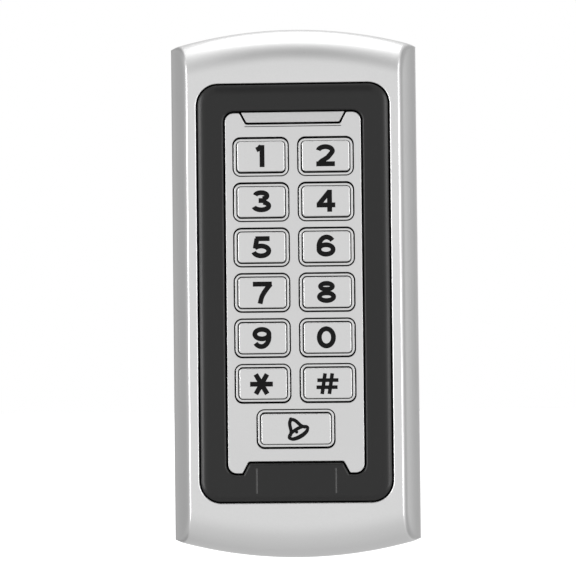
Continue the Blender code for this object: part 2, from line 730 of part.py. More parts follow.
def make_wall_plate(shop):
    def hole(x, y, radius, sides=12):
        return arc_points(x, y, radius, 0, math.tau * (sides - 1) / sides, sides - 1)

    outline = bowed_outline(WALL_PLATE_HALF_WIDTH, BOW_RADIUS - CASE_WALL - GAP)
    holes = [hole(x * WALL_HOLE_X, y * WALL_HOLE_Y, WALL_HOLE_RADIUS)
             for x in (-1, 1) for y in (-1, 1)]
    holes += [hole(0, CABLE_Y, CABLE_HOLE_RADIUS, 28), hole(SENSOR_X, SENSOR_Y, 3 * MM)]
    slot = rounded_rectangle(2 * WALL_HOLE_RADIUS, BOX_SLOT_LENGTH, 0.99 * WALL_HOLE_RADIUS, 5)
    for side in (-1, 1):
        holes.append([(x, y + side * BOX_SLOT_Y) for x, y in slot])
    plate = shop.sheet("wall_plate", [outline] + holes, 0, SHEET, "zinc_sheet")

    tabs = bmesh.new()
    for side in (-1, 1):
        hook = side * HOOK_X
        add_block(tabs, HOOK_WIDTH, SHEET, 0.5 * MM, 7.2 * MM, (hook, 67.65 * MM))
    add_block(tabs, TAB_WIDTH, SHEET, 0.5 * MM, 10 * MM, (0, TAB_TOP - SHEET / 2))
    boolean(plate, shop.from_bmesh("plate_tabs", tabs, (0, 0, 0)), "UNION")
    lips = bmesh.new()
    for side in (-1, 1):
        add_block(lips, HOOK_WIDTH, 2.4 * MM, 5.7 * MM, 7.2 * MM, (side * HOOK_X, 68.7 * MM))
    boolean(plate, shop.from_bmesh("hook_lips", lips, (0, 0, 0)), "UNION")
    thread = shop.cylinder(
        "lock_thread", 1.75 * MM, -3 * MM, 3 * MM, (0, TAB_TOP), sides=12, turn=(math.pi / 2, 0, 0)
    )
    thread.location.z = LOCK_Z
    boolean(plate, thread)


def main():
    shop = Workshop()
    make_case(shop)
    make_window_frame(shop)
    make_keypad_plate(shop)
    make_keys(shop)
    make_light_bar(shop)
    make_mat(shop)
    make_board(shop)
    make_components(shop)
    make_cover(shop)
    make_screws(shop)
    make_grommet(shop)
    make_gasket(shop)
    make_wall_plate(shop)


main()
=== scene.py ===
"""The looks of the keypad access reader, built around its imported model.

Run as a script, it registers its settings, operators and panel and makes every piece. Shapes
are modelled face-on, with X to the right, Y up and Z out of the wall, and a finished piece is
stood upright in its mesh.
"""

import math

import bmesh
import bpy
from bpy.props import FloatProperty, FloatVectorProperty, PointerProperty
from mathutils import Matrix, Vector


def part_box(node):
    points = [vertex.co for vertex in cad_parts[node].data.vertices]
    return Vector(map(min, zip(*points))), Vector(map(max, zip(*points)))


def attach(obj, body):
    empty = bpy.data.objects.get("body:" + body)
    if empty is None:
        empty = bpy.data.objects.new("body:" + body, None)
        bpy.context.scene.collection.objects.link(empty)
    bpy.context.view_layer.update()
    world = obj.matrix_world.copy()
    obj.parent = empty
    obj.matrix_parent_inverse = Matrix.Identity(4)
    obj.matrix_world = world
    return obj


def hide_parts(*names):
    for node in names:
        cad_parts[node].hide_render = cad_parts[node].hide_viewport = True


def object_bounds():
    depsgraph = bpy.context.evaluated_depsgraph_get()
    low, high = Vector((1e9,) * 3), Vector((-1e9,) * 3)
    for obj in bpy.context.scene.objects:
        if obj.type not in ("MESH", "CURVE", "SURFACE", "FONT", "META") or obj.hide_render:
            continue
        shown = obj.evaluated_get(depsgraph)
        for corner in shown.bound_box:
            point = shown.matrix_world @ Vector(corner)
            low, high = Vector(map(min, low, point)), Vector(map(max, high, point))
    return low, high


bl_info = {
    "name": "Keypad access reader",
    "version": (1, 0, 0),
    "blender": (4, 5, 0),
    "location": "3D View > Sidebar > Reader",
    "description": "Makes the finished pieces of a wall-mounted keypad access reader",
    "category": "Object",
}

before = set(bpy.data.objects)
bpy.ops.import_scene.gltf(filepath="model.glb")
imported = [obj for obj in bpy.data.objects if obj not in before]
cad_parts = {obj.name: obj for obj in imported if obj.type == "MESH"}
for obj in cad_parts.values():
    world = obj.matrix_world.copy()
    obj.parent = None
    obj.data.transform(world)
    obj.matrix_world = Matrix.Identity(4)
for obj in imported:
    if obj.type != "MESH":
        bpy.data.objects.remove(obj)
cad_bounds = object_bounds()

MM = 0.001
UPRIGHT = Matrix.Rotation(math.pi / 2, 4, "X")
READER = "reader"


def face_on(node):
    """A CAD node's width, height, back and front, and its centre, seen face-on."""
    low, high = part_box(node)
    centre = ((low.x + high.x) / 2, (low.z + high.z) / 2)
    return high.x - low.x, high.z - low.z, -high.y, -low.y, centre


CASE = face_on("front_housing")
WINDOW = face_on("window_frame")
PLATE = face_on("keypad_plate")
KEY = face_on("key_1")
BAR = face_on("light_bar")
GASKET = face_on("wall_gasket")
SHEET = face_on("wall_plate")
GROMMET = face_on("cable_grommet")
LOCK = face_on("locking_screw")

KEY_NAMES = ("1", "2", "3", "4", "5", "6", "7", "8", "9", "0", "star", "hash", "bell")


# ---------------------------------------------------------------- settings

def length(name, description, millimetres):
    return FloatProperty(
        name=name, description=description, default=millimetres * MM, unit="LENGTH", precision=5
    )


def colour(name, description, red, green, blue):
    return FloatVectorProperty(
        name=name, description=description, default=(red, green, blue),
        subtype="COLOR", min=0, max=1,
    )


def factor(name, description, value):
    return FloatProperty(
        name=name, description=description, default=value, subtype="FACTOR", min=0, max=1
    )


class ReaderCaseSettings(bpy.types.PropertyGroup):
    bow_radius: length("Bow radius", "Radius of the case's top and bottom outlines", 125)
    roll_radius: length("Roll radius", "Radius that the case's ends roll back with", 11.5)
    roll_length: length("Roll length", "How far in from its ends the case starts to roll", 10.5)
    scoop_width: length("Scoop width", "Width of the hollowed strip down each side", 4.6)
    scoop_depth: length("Scoop depth", "How far back the strip reaches at the case's side", 9.6)
    scoop_hollow: length("Scoop hollow", "How deep the strip is hollowed", 0.7)
    edge_softness: length("Edge softness", "Size of the rounding where strip and face meet", 2.4)
    outline_rounding: length("Outline rounding", "Radius at the case's outer edge", 0.5)
    wall: length("Wall", "Thickness of the case's end walls", 3.5)
    pocket_width: length("Pocket width", "Width of the window frame's pocket", 54.45)
    pocket_height: length("Pocket height", "Height of the window frame's pocket", 117.85)
    pocket_radius: length("Pocket radius", "Corner radius of the pocket", 6.1)
    pocket_floor: length("Pocket floor", "Height of the pocket's floor above the wall", 21.3)
    rim_rounding: length("Rim rounding", "Radius of the pocket's rim", 0.45)


class ReaderWindowSettings(bpy.types.PropertyGroup):
    corner: length("Corner", "Radius of the window frame's outer corners", 5.7)
    shoulder: length("Shoulder", "Radius of the frame's outer shoulder", 4.4)
    shoulder_slant: factor(
        "Shoulder slant", "How much narrower the shoulder is below and wider above", 0.25
    )
    rim_rounding: length("Rim rounding", "Radius of the frame's outer rim", 0.35)
    shoulder_tilt: FloatProperty(
        name="Shoulder tilt", description="How far the shoulder turns at its rim, in degrees",
        default=33, min=5, max=90,
    )
    inner_rounding: length("Inner rounding", "Radius of the frame's inner edge", 0.65)
    overlap: length("Overlap", "How much wider the frame is made than its plain model", 0.22)
    plate_gap: length("Plate gap", "Gap between the frame and the keypad plate", 0.42)
    groove_x: length("Groove distance", "Distance of each groove from the middle", 11.1)
    groove_top: length("Groove top", "How far below the middle the grooves start", 49.2)
    groove_bottom: length("Groove bottom", "How far below the middle the grooves end", 56.3)
    groove_width: length("Groove width", "Width of each groove", 0.44)
    groove_depth: length("Groove depth", "Depth of each groove", 0.11)


class ReaderKeypadSettings(bpy.types.PropertyGroup):
    plate_width: length("Plate width", "Width of the plate in its frame", 38.3)
    plate_height: length("Plate height", "Height of the plate in its frame", 101.4)
    plate_corner: length("Plate corner", "Radius of the plate's corners", 2.5)
    notch_depth: length("Notch depth", "Depth of the plate's end notches", 3.3)
    notch_inner: length("Notch floor", "Half the width of a notch's floor", 13.35)
    notch_outer: length("Notch mouth", "Half the width of a notch's mouth", 15.1)
    window_gap: length("Window gap", "Gap between a key and its window", 0.36)
    plate_rounding: length("Plate rounding", "Radius of the plate's edge", 0.28)
    window_rounding: length("Window rounding", "Radius of a key window's edge", 0.12)
    key_corner: length("Key corner", "Radius of a key's corners", 1.9)
    key_flange: length("Key flange", "Width of the hidden flange round a key", 0.85)
    key_rim: length("Key rim", "Height of a key's rim above the wall", 23.75)
    band_width: length("Band width", "Width of the band between a key's edge and its groove", 0.6)
    groove_width: length("Groove width", "Width of the groove round a key's pad", 0.34)
    groove_depth: length("Groove depth", "Depth of the groove round a key's pad", 0.8)
    mat_shrink: factor("Mat shrink", "How much the keys are drawn to the mat's middle", 0.004)
    pad_rounding: length("Pad rounding", "Radius of the pad's edge", 0.3)


class ReaderLegendSettings(bpy.types.PropertyGroup):
    digit_height: length("Digit height", "Height of a printed digit", 6.2)
    digit_width: length("Digit width", "Width of a printed digit", 5.35)
    stroke: length("Stroke", "Width of a digit's strokes", 1.38)
    bell_stroke: length("Bell stroke", "Width of the bell's strokes", 0.98)
    bell_scale: length("Bell scale", "Size of one step of the bell's drawing", 0.281)
    bell_tilt: FloatProperty(
        name="Bell tilt", description="How far the bell leans", default=math.radians(29.5),
        subtype="ANGLE", unit="ROTATION",
    )
    thickness: length("Thickness", "How far a legend stands out of its key", 0.02)


class ReaderFinishSettings(bpy.types.PropertyGroup):
    silver: colour("Silver", "Paint of the case", 0.63, 0.63, 0.63)
    plate: colour("Plate", "Paint of the keypad plate", 0.6, 0.6, 0.6)
    key: colour("Key", "Finish of the keys", 0.61, 0.61, 0.61)
    black: colour("Black", "Plastic of the window frame", 0.006, 0.006, 0.006)
    ink: colour("Ink", "Paint of the legends", 0.002, 0.002, 0.002)
    silver_roughness: factor("Silver roughness", "Roughness of the silver paint", 0.34)
    black_roughness: factor("Black roughness", "Roughness of the black plastic", 0.32)


class ReaderStageSettings(bpy.types.PropertyGroup):
    floor_drop: length("Floor drop", "How far the floor lies below the reader", 35)
    floor_size: length("Floor size", "Half the width of the floor", 2000)
    camera_distance: length("Camera distance", "Distance of the camera from the reader", 600)
    camera_azimuth: FloatProperty(
        name="Camera azimuth", description="How far the camera stands to the right",
        default=math.radians(1.79), subtype="ANGLE", unit="ROTATION",
    )
    camera_elevation: FloatProperty(
        name="Camera elevation", description="How far the camera stands above the reader",
        default=math.radians(-1.22), subtype="ANGLE", unit="ROTATION",
    )
    camera_roll: FloatProperty(
        name="Camera roll", description="How far the camera leans",
        default=math.radians(-0.61), subtype="ANGLE", unit="ROTATION",
    )
    aim_left: length("Aim left", "How far left of the reader's middle the camera aims", 2.17)
    aim_up: length("Aim up", "How far above the reader's middle the camera aims", 1.5)
    lens: FloatProperty(
        name="Lens", description="Focal length of the camera, in millimetres",
        default=131.0, min=10, max=400,
    )
    light_scale: FloatProperty(
        name="Light scale", description="Strength of every lamp", default=1.0, min=0, max=10
    )


# ---------------------------------------------------------------- outlines

def arc_points(centre_x, centre_y, radius, start, end, steps):
    """Points of an arc from angle start to angle end, both ends included."""
    angles = [start + (end - start) * step / steps for step in range(steps + 1)]
    return [(centre_x + radius * math.cos(a), centre_y + radius * math.sin(a)) for a in angles]


def ellipse_points(centre_x, centre_y, half_width, half_height, start, end, steps):
    angles = [math.radians(start + (end - start) * step / steps) for step in range(steps + 1)]
    return [
        (centre_x + half_width * math.cos(a), centre_y + half_height * math.sin(a))
        for a in angles
    ]


def filleted(corners, steps=10):
    """A closed outline through corners (x, y, radius), each one rounded with its own radius."""
    outline = []
    for index, (x, y, radius) in enumerate(corners):
        before = corners[index - 1]
        after = corners[(index + 1) % len(corners)]
        if radius == 0:
            outline.append((x, y))
            continue
        to_before = math.atan2(before[1] - y, before[0] - x)
        to_after = math.atan2(after[1] - y, after[0] - x)
        turn = (to_after - to_before + math.pi) % (2 * math.pi) - math.pi
        half = abs(turn) / 2
        reach = radius / math.sin(half)
        middle = to_before + turn / 2
        sweep = math.copysign(math.pi / 2 - half, turn)
        outline += arc_points(
            x + reach * math.cos(middle), y + reach * math.sin(middle), radius,
            middle + math.pi + sweep, middle + math.pi - sweep, steps,
        )
    return outline


def rounded_rectangle(width, height, radius, steps=10):
    x = width / 2
    y = height / 2
    return filleted([(x, y, radius), (-x, y, radius), (-x, -y, radius), (x, -y, radius)], steps)


def bowed_outline(half_width, radius, bow_centre, steps=40):
    """Straight sides, with a top and a bottom that are arcs about the case's bow centres."""
    reach = math.asin(half_width / radius)
    top = arc_points(0, bow_centre, radius, math.pi / 2 - reach, math.pi / 2 + reach, steps)
    return top + [(-x, -y) for x, y in top]


def keypad_outline(keypad, grow, top_notch):
    """The plate's outline, grown all round, with a notch at its bottom and maybe at its top."""
    x = keypad.plate_width / 2 + grow
    y = keypad.plate_height / 2 + grow
    inner, floor, outer = notch_points(keypad, grow)
    top = [
        (outer, y, 0.5 * MM), (inner, floor, 0.8 * MM),
        (-inner, floor, 0.8 * MM), (-outer, y, 0.5 * MM),
    ]
    bottom = [(-a, -b, r) for a, b, r in top]
    corner = keypad.plate_corner + grow
    corners = [(x, y, corner)] + (top if top_notch else []) + [(-x, y, corner), (-x, -y, corner)]
    return filleted(corners + bottom + [(x, -y, corner)])


def notch_points(keypad, grow):
    """A notch's half floor width, its floor's height and its half mouth width."""
    run = keypad.notch_outer - keypad.notch_inner
    rise = keypad.notch_depth
    slip = grow * (math.hypot(run, rise) - run) / rise
    floor = keypad.plate_height / 2 - rise + grow
    return keypad.notch_inner - slip, floor, keypad.notch_outer - slip


def bar_outline(keypad, shrink, top):
    """The light bar's outline: the top notch, shrunk, up to a level top."""
    inner, floor, _ = notch_points(keypad, shrink)
    slope = (keypad.notch_outer - keypad.notch_inner) / keypad.notch_depth
    mouth = inner + (top - floor) * slope
    soft = 0.6 * MM
    return filleted([
        (mouth, top, 0.1 * MM), (-mouth, top, 0.1 * MM), (-inner, floor, soft),
        (inner, floor, soft),
    ], 6)


# ---------------------------------------------------------------- shapes

def sheet(outlines, back, front):
    """A flat shape from back to front: the first outline, with the others as holes in it."""
    curve = bpy.data.curves.new("outline", "CURVE")
    curve.dimensions = "2D"
    curve.fill_mode = "BOTH"
    curve.extrude = (front - back) / 2
    for outline in outlines:
        spline = curve.splines.new("POLY")
        spline.points.add(len(outline) - 1)
        for point, (x, y) in zip(spline.points, outline):
            point.co = (x, y, 0, 1)
        spline.use_cyclic_u = True
    guide = bpy.data.objects.new("outline", curve)
    bpy.context.scene.collection.objects.link(guide)
    shape = evaluated(guide)
    bpy.data.objects.remove(guide)
    bpy.data.curves.remove(curve)
    bmesh.ops.remove_doubles(shape, verts=shape.verts, dist=0.001 * MM)
    bmesh.ops.recalc_face_normals(shape, faces=shape.faces)
    bmesh.ops.translate(shape, vec=(0, 0, (front + back) / 2), verts=shape.verts)
    return shape


def evaluated(piece):
    """An object's mesh with its modifiers applied, as a bmesh."""
    graph = bpy.context.evaluated_depsgraph_get()
    mesh = bpy.data.meshes.new_from_object(piece.evaluated_get(graph))
    shape = bmesh.new()
    shape.from_mesh(mesh)
    bpy.data.meshes.remove(mesh)
    return shape


def combine(shape, other, operation="DIFFERENCE"):
    """The Boolean of two shapes, which are both used up."""
    solids = []
    for source in (shape, other):
        mesh = bpy.data.meshes.new("solid")
        source.to_mesh(mesh)
        source.free()
        solid = bpy.data.objects.new("solid", mesh)
        bpy.context.scene.collection.objects.link(solid)
        solids.append(solid)
    modifier = solids[0].modifiers.new("combine", "BOOLEAN")
    modifier.operation = operation
    modifier.object = solids[1]
    result = evaluated(solids[0])
    for solid in solids:
        mesh = solid.data
        bpy.data.objects.remove(solid)
        bpy.data.meshes.remove(mesh)
    if not result.faces:
        raise RuntimeError(f"the {operation.lower()} left nothing")
    return result


def add_block(shape, width, height, back, front, place=(0, 0), radius=0, segments=10):
    """Adds a box from back to front with its four edges along Z rounded."""
    made = bmesh.ops.create_cube(shape, size=1)["verts"]
    bmesh.ops.scale(shape, vec=(width, height, front - back), verts=made)
    bmesh.ops.translate(shape, vec=(*place, (front + back) / 2), verts=made)
    if radius:
        along_z = {
            edge for vert in made for edge in vert.link_edges
            if abs(edge.verts[0].co.z - edge.verts[1].co.z) > (front - back) / 2
        }
        round_edges(shape, along_z, radius, segments)


def block(*sizes, **options):
    shape = bmesh.new()
    add_block(shape, *sizes, **options)
    return shape


def add_cylinder(shape, radius, back, front, sides, place=(0, 0)):
    bmesh.ops.create_cone(
        shape, cap_ends=True, segments=sides, radius1=radius, radius2=radius,
        depth=front - back, matrix=Matrix.Translation((*place, (front + back) / 2)),
    )


def round_edges(shape, edges, radius, segments=4):
    bmesh.ops.bevel(
        shape, geom=list(edges), offset=radius, offset_type="OFFSET",
        affect="EDGES", segments=segments, profile=0.5, material=-1,
    )


def rim_edges(shape, z, keep=lambda x, y: True):
    """The sharp edges that lie at height z, where keep(x, y) holds at both their ends."""
    level = 0.001 * MM
    return [
        edge for edge in shape.edges
        if all(abs(v.co.z - z) < level and keep(v.co.x, v.co.y) for v in edge.verts)
        and edge.calc_face_angle(0) > 1
    ]


def add_loop(shape, outline, z):
    """Adds a closed loop of edges at height z."""
    verts = [shape.verts.new((x, y, z)) for x, y in outline]
    return [shape.edges.new((verts[index - 1], verts[index])) for index in range(len(verts))]


def walled(walls, grooves=()):
    """A flat solid with holes, and grooves in its front.

    Each wall is a list of (outline, z) from back to front, the outer one first; a groove's
    wall starts at the groove's floor.
    """
    shape = bmesh.new()
    backs = []
    fronts = []
    floors = []
    for wall in [*walls, *grooves]:
        loops = [add_loop(shape, outline, z) for outline, z in wall]
        for low, high in zip(loops, loops[1:]):
            bmesh.ops.bridge_loops(shape, edges=low + high)
        if wall in walls:
            backs += loops[0]
        else:
            floors.append(loops[0])
        fronts += loops[-1]
    for rim in (backs, fronts, *floors):
        bmesh.ops.triangle_fill(shape, use_beauty=True, edges=rim)
    bmesh.ops.recalc_face_normals(shape, faces=shape.faces)
    return shape


def eased(outline_at, back, front, front_radius, back_radius=0, steps=5, tilt=90, rim=0):
    """A wall whose outline, outline_at(grow), is drawn in at its rounded front and back.

    Its front rounding starts with the surface turned by tilt degrees from the flat front;
    below it, a rim of its own radius turns the rest of the way to the wall.
    """
    wall = []
    if back_radius:
        for step in range(steps):
            angle = math.pi / 2 * step / steps
            drop = back_radius * (1 - math.sin(angle))
            wall.append((outline_at(-drop), back + back_radius * (1 - math.cos(angle))))
    wall.append((outline_at(0), back + back_radius))
    widest = math.radians(tilt)
    foot = front - front_radius * (1 - math.cos(widest))
    inset = 0
    if rim:
        inset = rim * (1 - math.sin(widest))
        for step in range(steps):
            angle = math.pi / 2 + (widest - math.pi / 2) * step / steps
            drop = rim * (1 - math.sin(angle))
            wall.append((outline_at(-drop), foot - rim * (math.cos(widest) - math.cos(angle))))
    for step in range(steps + 1):
        angle = widest * (1 - step / steps)
        drop = inset + front_radius * (math.sin(widest) - math.sin(angle))
        wall.append((outline_at(-drop), front - front_radius * (1 - math.cos(angle))))
    return wall


def moved(outline, x, y):
    return [(x + a, y + b) for a, b in outline]


def round_over(radius, steps=4):
    """Steps (inset, rise) of an edge that turns from upright to level."""
    angles = [math.pi / 2 * step / steps for step in range(steps + 1)]
    return [
        (radius * (math.cos(a) - math.cos(b)), radius * (math.sin(b) - math.sin(a)))
        for a, b in zip(angles, angles[1:])
    ]


def round_under(radius, steps=4):
    """Steps (inset, rise) of an edge that turns from level to upright."""
    return [(rise, inset) for inset, rise in round_over(radius, steps)]


def stack(width, height, radius, base, steps, place=(0, 0), down=False):
    """A rounded block built up from its base by steps of (inset, rise) on its topmost face."""
    shape = block(width, height, 0, steps[0][1], radius=radius)
    top = max(shape.faces, key=lambda face: face.calc_center_median().z)
    for inset, rise in steps[1:]:
        if inset:
            bmesh.ops.inset_region(
                shape, faces=[top], thickness=inset, depth=rise, use_even_offset=True
            )
        else:
            top = bmesh.ops.extrude_discrete_faces(shape, faces=[top])["faces"][0]
            bmesh.ops.translate(shape, vec=(0, 0, rise), verts=top.verts)
    if down:
        bmesh.ops.scale(shape, vec=(1, 1, -1), verts=shape.verts)
        bmesh.ops.reverse_faces(shape, faces=shape.faces)
    bmesh.ops.translate(shape, vec=(*place, base), verts=shape.verts)
    return shape


def turned(profile, place, steps=64, axis="Z"):
    """A closed profile of (radius, height) points, spun about its own axis at place."""
    shape = bmesh.new()
    points = [shape.verts.new((radius, 0, height)) for radius, height in profile]
    edges = [shape.edges.new(pair) for pair in zip(points, points[1:])]
    if profile[0][0] > 0:
        edges.append(shape.edges.new((points[-1], points[0])))
    bmesh.ops.spin(
        shape, geom=points + edges, cent=(0, 0, 0), axis=(0, 0, 1), dvec=(0, 0, 0),
        angle=math.tau, steps=steps, use_merge=True, use_normal_flip=False,
    )
    bmesh.ops.remove_doubles(shape, verts=shape.verts, dist=0.001 * MM)
    bmesh.ops.recalc_face_normals(shape, faces=shape.faces)
    turn = Matrix.Rotation(-math.pi / 2, 4, "X") if axis == "Y" else Matrix.Identity(4)
    bmesh.ops.transform(shape, matrix=Matrix.Translation(place) @ turn, verts=shape.verts)
    return shape


def join(shape, other):
    """Adds another shape's faces to a shape, and uses the other up."""
    mesh = bpy.data.meshes.new("joined")
    other.to_mesh(mesh)
    other.free()
    shape.from_mesh(mesh)
    bpy.data.meshes.remove(mesh)


def shadow_faces(shape, rule):
    """Gives the second material, the painted gap shade, to the faces for which rule(centre,
    normal) holds.
    """
    shape.normal_update()
    for face in shape.faces:
        face.material_index = 1 if rule(face.calc_center_median(), face.normal) else 0


def finish_piece(name, shape, materials, body=READER, nodes=(), sharp=30):
    """Stands a shape upright as a piece that rides on a body and may stand for CAD nodes."""
    mesh = bpy.data.meshes.new(name)
    shape.to_mesh(mesh)
    shape.free()
    mesh.transform(UPRIGHT)
    mesh.shade_smooth()
    mesh.set_sharp_from_angle(angle=math.radians(sharp))
    for material in materials:
        mesh.materials.append(material)
    piece = bpy.data.objects.new(name, mesh)
    bpy.context.scene.collection.objects.link(piece)
    normals = piece.modifiers.new("normals", "WEIGHTED_NORMAL")
    normals.weight = 100
    normals.keep_sharp = True
    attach(piece, body)
    if nodes:
        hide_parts(*nodes)
    return piece


def dress_node(node, material):
    """Gives a CAD node that keeps its shape a finished material."""
    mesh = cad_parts[node].data
    if not mesh.materials:
        mesh.materials.append(material)
    for index in range(len(mesh.materials)):
        mesh.materials[index] = material


# ---------------------------------------------------------------- materials

class Nodes:
    """Adds and links shader nodes in one tree."""

    def __init__(self, tree):
        self.tree = tree

    def add(self, kind, values=(), **options):
        node = self.tree.nodes.new(kind)
        for key, value in options.items():
            setattr(node, key, value)
        for socket, value in dict(values).items():
            if isinstance(value, bpy.types.NodeSocket):
                self.tree.links.new(value, node.inputs[socket])
            else:
                node.inputs[socket].default_value = value
        return node

    def math(self, operation, first, second):
        return self.add("ShaderNodeMath", {0: first, 1: second}, operation=operation).outputs[0]

    def between(self, value, low, high):
        """Maps a value from 0..1 to low..high."""
        return self.add(
            "ShaderNodeMapRange", {"Value": value, "To Min": low, "To Max": high}
        ).outputs[0]

    def swing(self, value, contrast):
        """How far a value in 0..1 strays from its middle, times a contrast."""
        return self.math("MULTIPLY", self.math("SUBTRACT", value, 0.5), contrast)

    def group(self, group, values):
        node = self.add("ShaderNodeGroup", node_tree=group)
        for socket, value in values.items():
            node.inputs[socket].default_value = value
        return node


def new_group(name, inputs, outputs):
    """A node group with float or colour sockets, and its input and output nodes."""
    tree = bpy.data.node_groups.new(name, "ShaderNodeTree")
    for direction, sockets in (("INPUT", inputs), ("OUTPUT", outputs)):
        for socket, kind in sockets.items():
            tree.interface.new_socket(socket, in_out=direction, socket_type="NodeSocket" + kind)
    nodes = Nodes(tree)
    return tree, nodes, nodes.add("NodeGroupInput").outputs, nodes.add("NodeGroupOutput").inputs


def speckle_group():
    """Fine flakes and slow clouding: a tone that wanders about 1, and a height."""
    name = "speckle"
    if name in bpy.data.node_groups:
        return bpy.data.node_groups[name]
    tree, nodes, given, out = new_group(
        name, {"Flake Scale": "Float", "Flake Contrast": "Float", "Cloud Contrast": "Float"},
        {"Tone": "Float", "Height": "Float", "Cloud": "Float"},
    )
    place = nodes.add("ShaderNodeTexCoord").outputs["Object"]
    flakes = nodes.add(
        "ShaderNodeTexNoise", {"Vector": place, "Scale": given["Flake Scale"], "Detail": 2.0}
    ).outputs["Fac"]
    clouds = nodes.add(
        "ShaderNodeTexNoise", {"Vector": place, "Scale": 60.0, "Detail": 3.0}
    ).outputs["Fac"]
    flake_tone = nodes.swing(flakes, given["Flake Contrast"])
    cloud_tone = nodes.swing(clouds, given["Cloud Contrast"])
    tone = nodes.math("ADD", nodes.math("ADD", flake_tone, cloud_tone), 1.0)
    tree.links.new(tone, out["Tone"])
    tree.links.new(flakes, out["Height"])
    tree.links.new(clouds, out["Cloud"])
    return tree


def brushing_group():
    """Fine drawn lines along one direction, as a tone about 1 and a height."""
    name = "brushing"
    if name in bpy.data.node_groups:
        return bpy.data.node_groups[name]
    tree, nodes, given, out = new_group(
        name, {"Stretch": "Vector", "Contrast": "Float"}, {"Tone": "Float", "Height": "Float"}
    )
    place = nodes.add("ShaderNodeTexCoord").outputs["Object"]
    stretched = nodes.add(
        "ShaderNodeVectorMath", {0: place, 1: given["Stretch"]}, operation="MULTIPLY"
    ).outputs["Vector"]
    lines = nodes.add(
        "ShaderNodeTexNoise", {"Vector": stretched, "Scale": 1.0, "Detail": 4.0}
    ).outputs["Fac"]
    tone = nodes.swing(lines, given["Contrast"])
    tree.links.new(nodes.math("ADD", tone, 1.0), out["Tone"])
    tree.links.new(lines, out["Height"])
    return tree


def toned(nodes, base, tone):
    """A base colour whose brightness follows a tone about 1."""
    mix = nodes.add(
        "ShaderNodeMix", {0: 1.0, 6: (*base, 1.0)}, data_type="RGBA", blend_type="MULTIPLY"
    )
    grey = nodes.add("ShaderNodeCombineColor", {"Red": tone, "Green": tone, "Blue": tone})
    nodes.tree.links.new(grey.outputs[0], mix.inputs[7])
    return mix.outputs[2]


def speckled_material(
    name, base, roughness, metallic=0.0, flake_scale=2500.0, flakes=0.06, clouds=0.03,
    bump=0.05, depth=0.02, spread=0.06, **sockets,
):
    """A surface with fine flakes or grain, slow clouding, and a bump of its own depth in mm."""
    if name in bpy.data.materials:
        return bpy.data.materials[name]
    material = bpy.data.materials.new(name)
    material.use_nodes = True
    shader = material.node_tree.nodes["Principled BSDF"]
    nodes = Nodes(material.node_tree)
    effect = nodes.group(speckle_group(), {
        "Flake Scale": flake_scale, "Flake Contrast": flakes, "Cloud Contrast": clouds,
    }).outputs
    finish_shader(nodes, shader, base, effect["Tone"], effect["Height"], bump, depth)
    rough = nodes.between(effect["Cloud"], roughness - spread / 2, roughness + spread / 2)
    nodes.tree.links.new(rough, shader.inputs["Roughness"])
    shader.inputs["Metallic"].default_value = metallic
    for socket, value in sockets.items():
        shader.inputs[socket.replace("_", " ")].default_value = value
    return material


def brushed_material(name, base, roughness, stretch, contrast=0.25, bump=0.15, depth=0.01):
    if name in bpy.data.materials:
        return bpy.data.materials[name]
    material = bpy.data.materials.new(name)
    material.use_nodes = True
    shader = material.node_tree.nodes["Principled BSDF"]
    nodes = Nodes(material.node_tree)
    effect = nodes.group(brushing_group(), {"Stretch": stretch, "Contrast": contrast}).outputs
    finish_shader(nodes, shader, base, effect["Tone"], effect["Height"], bump, depth)
    rough = nodes.between(effect["Height"], roughness - 0.08, roughness + 0.08)
    nodes.tree.links.new(rough, shader.inputs["Roughness"])
    shader.inputs["Metallic"].default_value = 1.0
    return material


def finish_shader(nodes, shader, base, tone, height, bump, depth):
    nodes.tree.links.new(toned(nodes, base, tone), shader.inputs["Base Color"])
    bumps = nodes.add(
        "ShaderNodeBump", {"Strength": bump, "Distance": depth * MM, "Height": height}
    )
    nodes.tree.links.new(bumps.outputs["Normal"], shader.inputs["Normal"])


def silver_paint():
    finish = bpy.context.scene.reader_finish
    return speckled_material(
        "silver_paint", finish.silver, finish.silver_roughness, metallic=1.0, bump=0.12,
    )


def plate_paint():
    finish = bpy.context.scene.reader_finish
    return speckled_material(
        "plate_paint", finish.plate, finish.silver_roughness + 0.04, metallic=1.0, bump=0.12,
    )


def key_finish():
    finish = bpy.context.scene.reader_finish
    return speckled_material(
        "key_finish", finish.key, finish.silver_roughness, metallic=1.0, bump=0.08,
        flake_scale=3500.0,
    )


def frame_plastic():
    finish = bpy.context.scene.reader_finish
    return speckled_material(
        "frame_plastic", finish.black, finish.black_roughness, flake_scale=5000.0,
        flakes=0.3, clouds=0.1, bump=0.35, depth=0.015, Specular_IOR_Level=0.33,
    )


# Painted shade: a near-black material put on the walls and floors of narrow gaps and grooves,
# where there is only shade.
def gap_shadow():
    return speckled_material(
        "gap_black", (0.002, 0.002, 0.002), 0.9, flakes=0.3, clouds=0.2, bump=0.2,
        Specular_IOR_Level=0.1,
    )


def legend_ink():
    finish = bpy.context.scene.reader_finish
    return speckled_material(
        "legend_ink", finish.ink, 0.5, flake_scale=6000.0, flakes=0.4, clouds=0.2, bump=0.2,
        Specular_IOR_Level=0.12,
    )


def light_pipe():
    return speckled_material(
        "light_pipe", (0.34, 0.34, 0.34), 0.35, flake_scale=1500.0, flakes=0.04, clouds=0.04,
        bump=0.08, Coat_Weight=0.3, Coat_Roughness=0.15,
    )


def seal_rubber():
    return speckled_material(
        "seal_rubber", (0.025, 0.025, 0.026), 0.75, flake_scale=3000.0, flakes=0.4, clouds=0.3,
        bump=0.4, depth=0.03,
    )


def zinc_sheet():
    return brushed_material(
        "zinc_sheet", (0.6, 0.61, 0.62), 0.36, (1500.0, 1500.0, 40.0), contrast=0.7, bump=0.3
    )


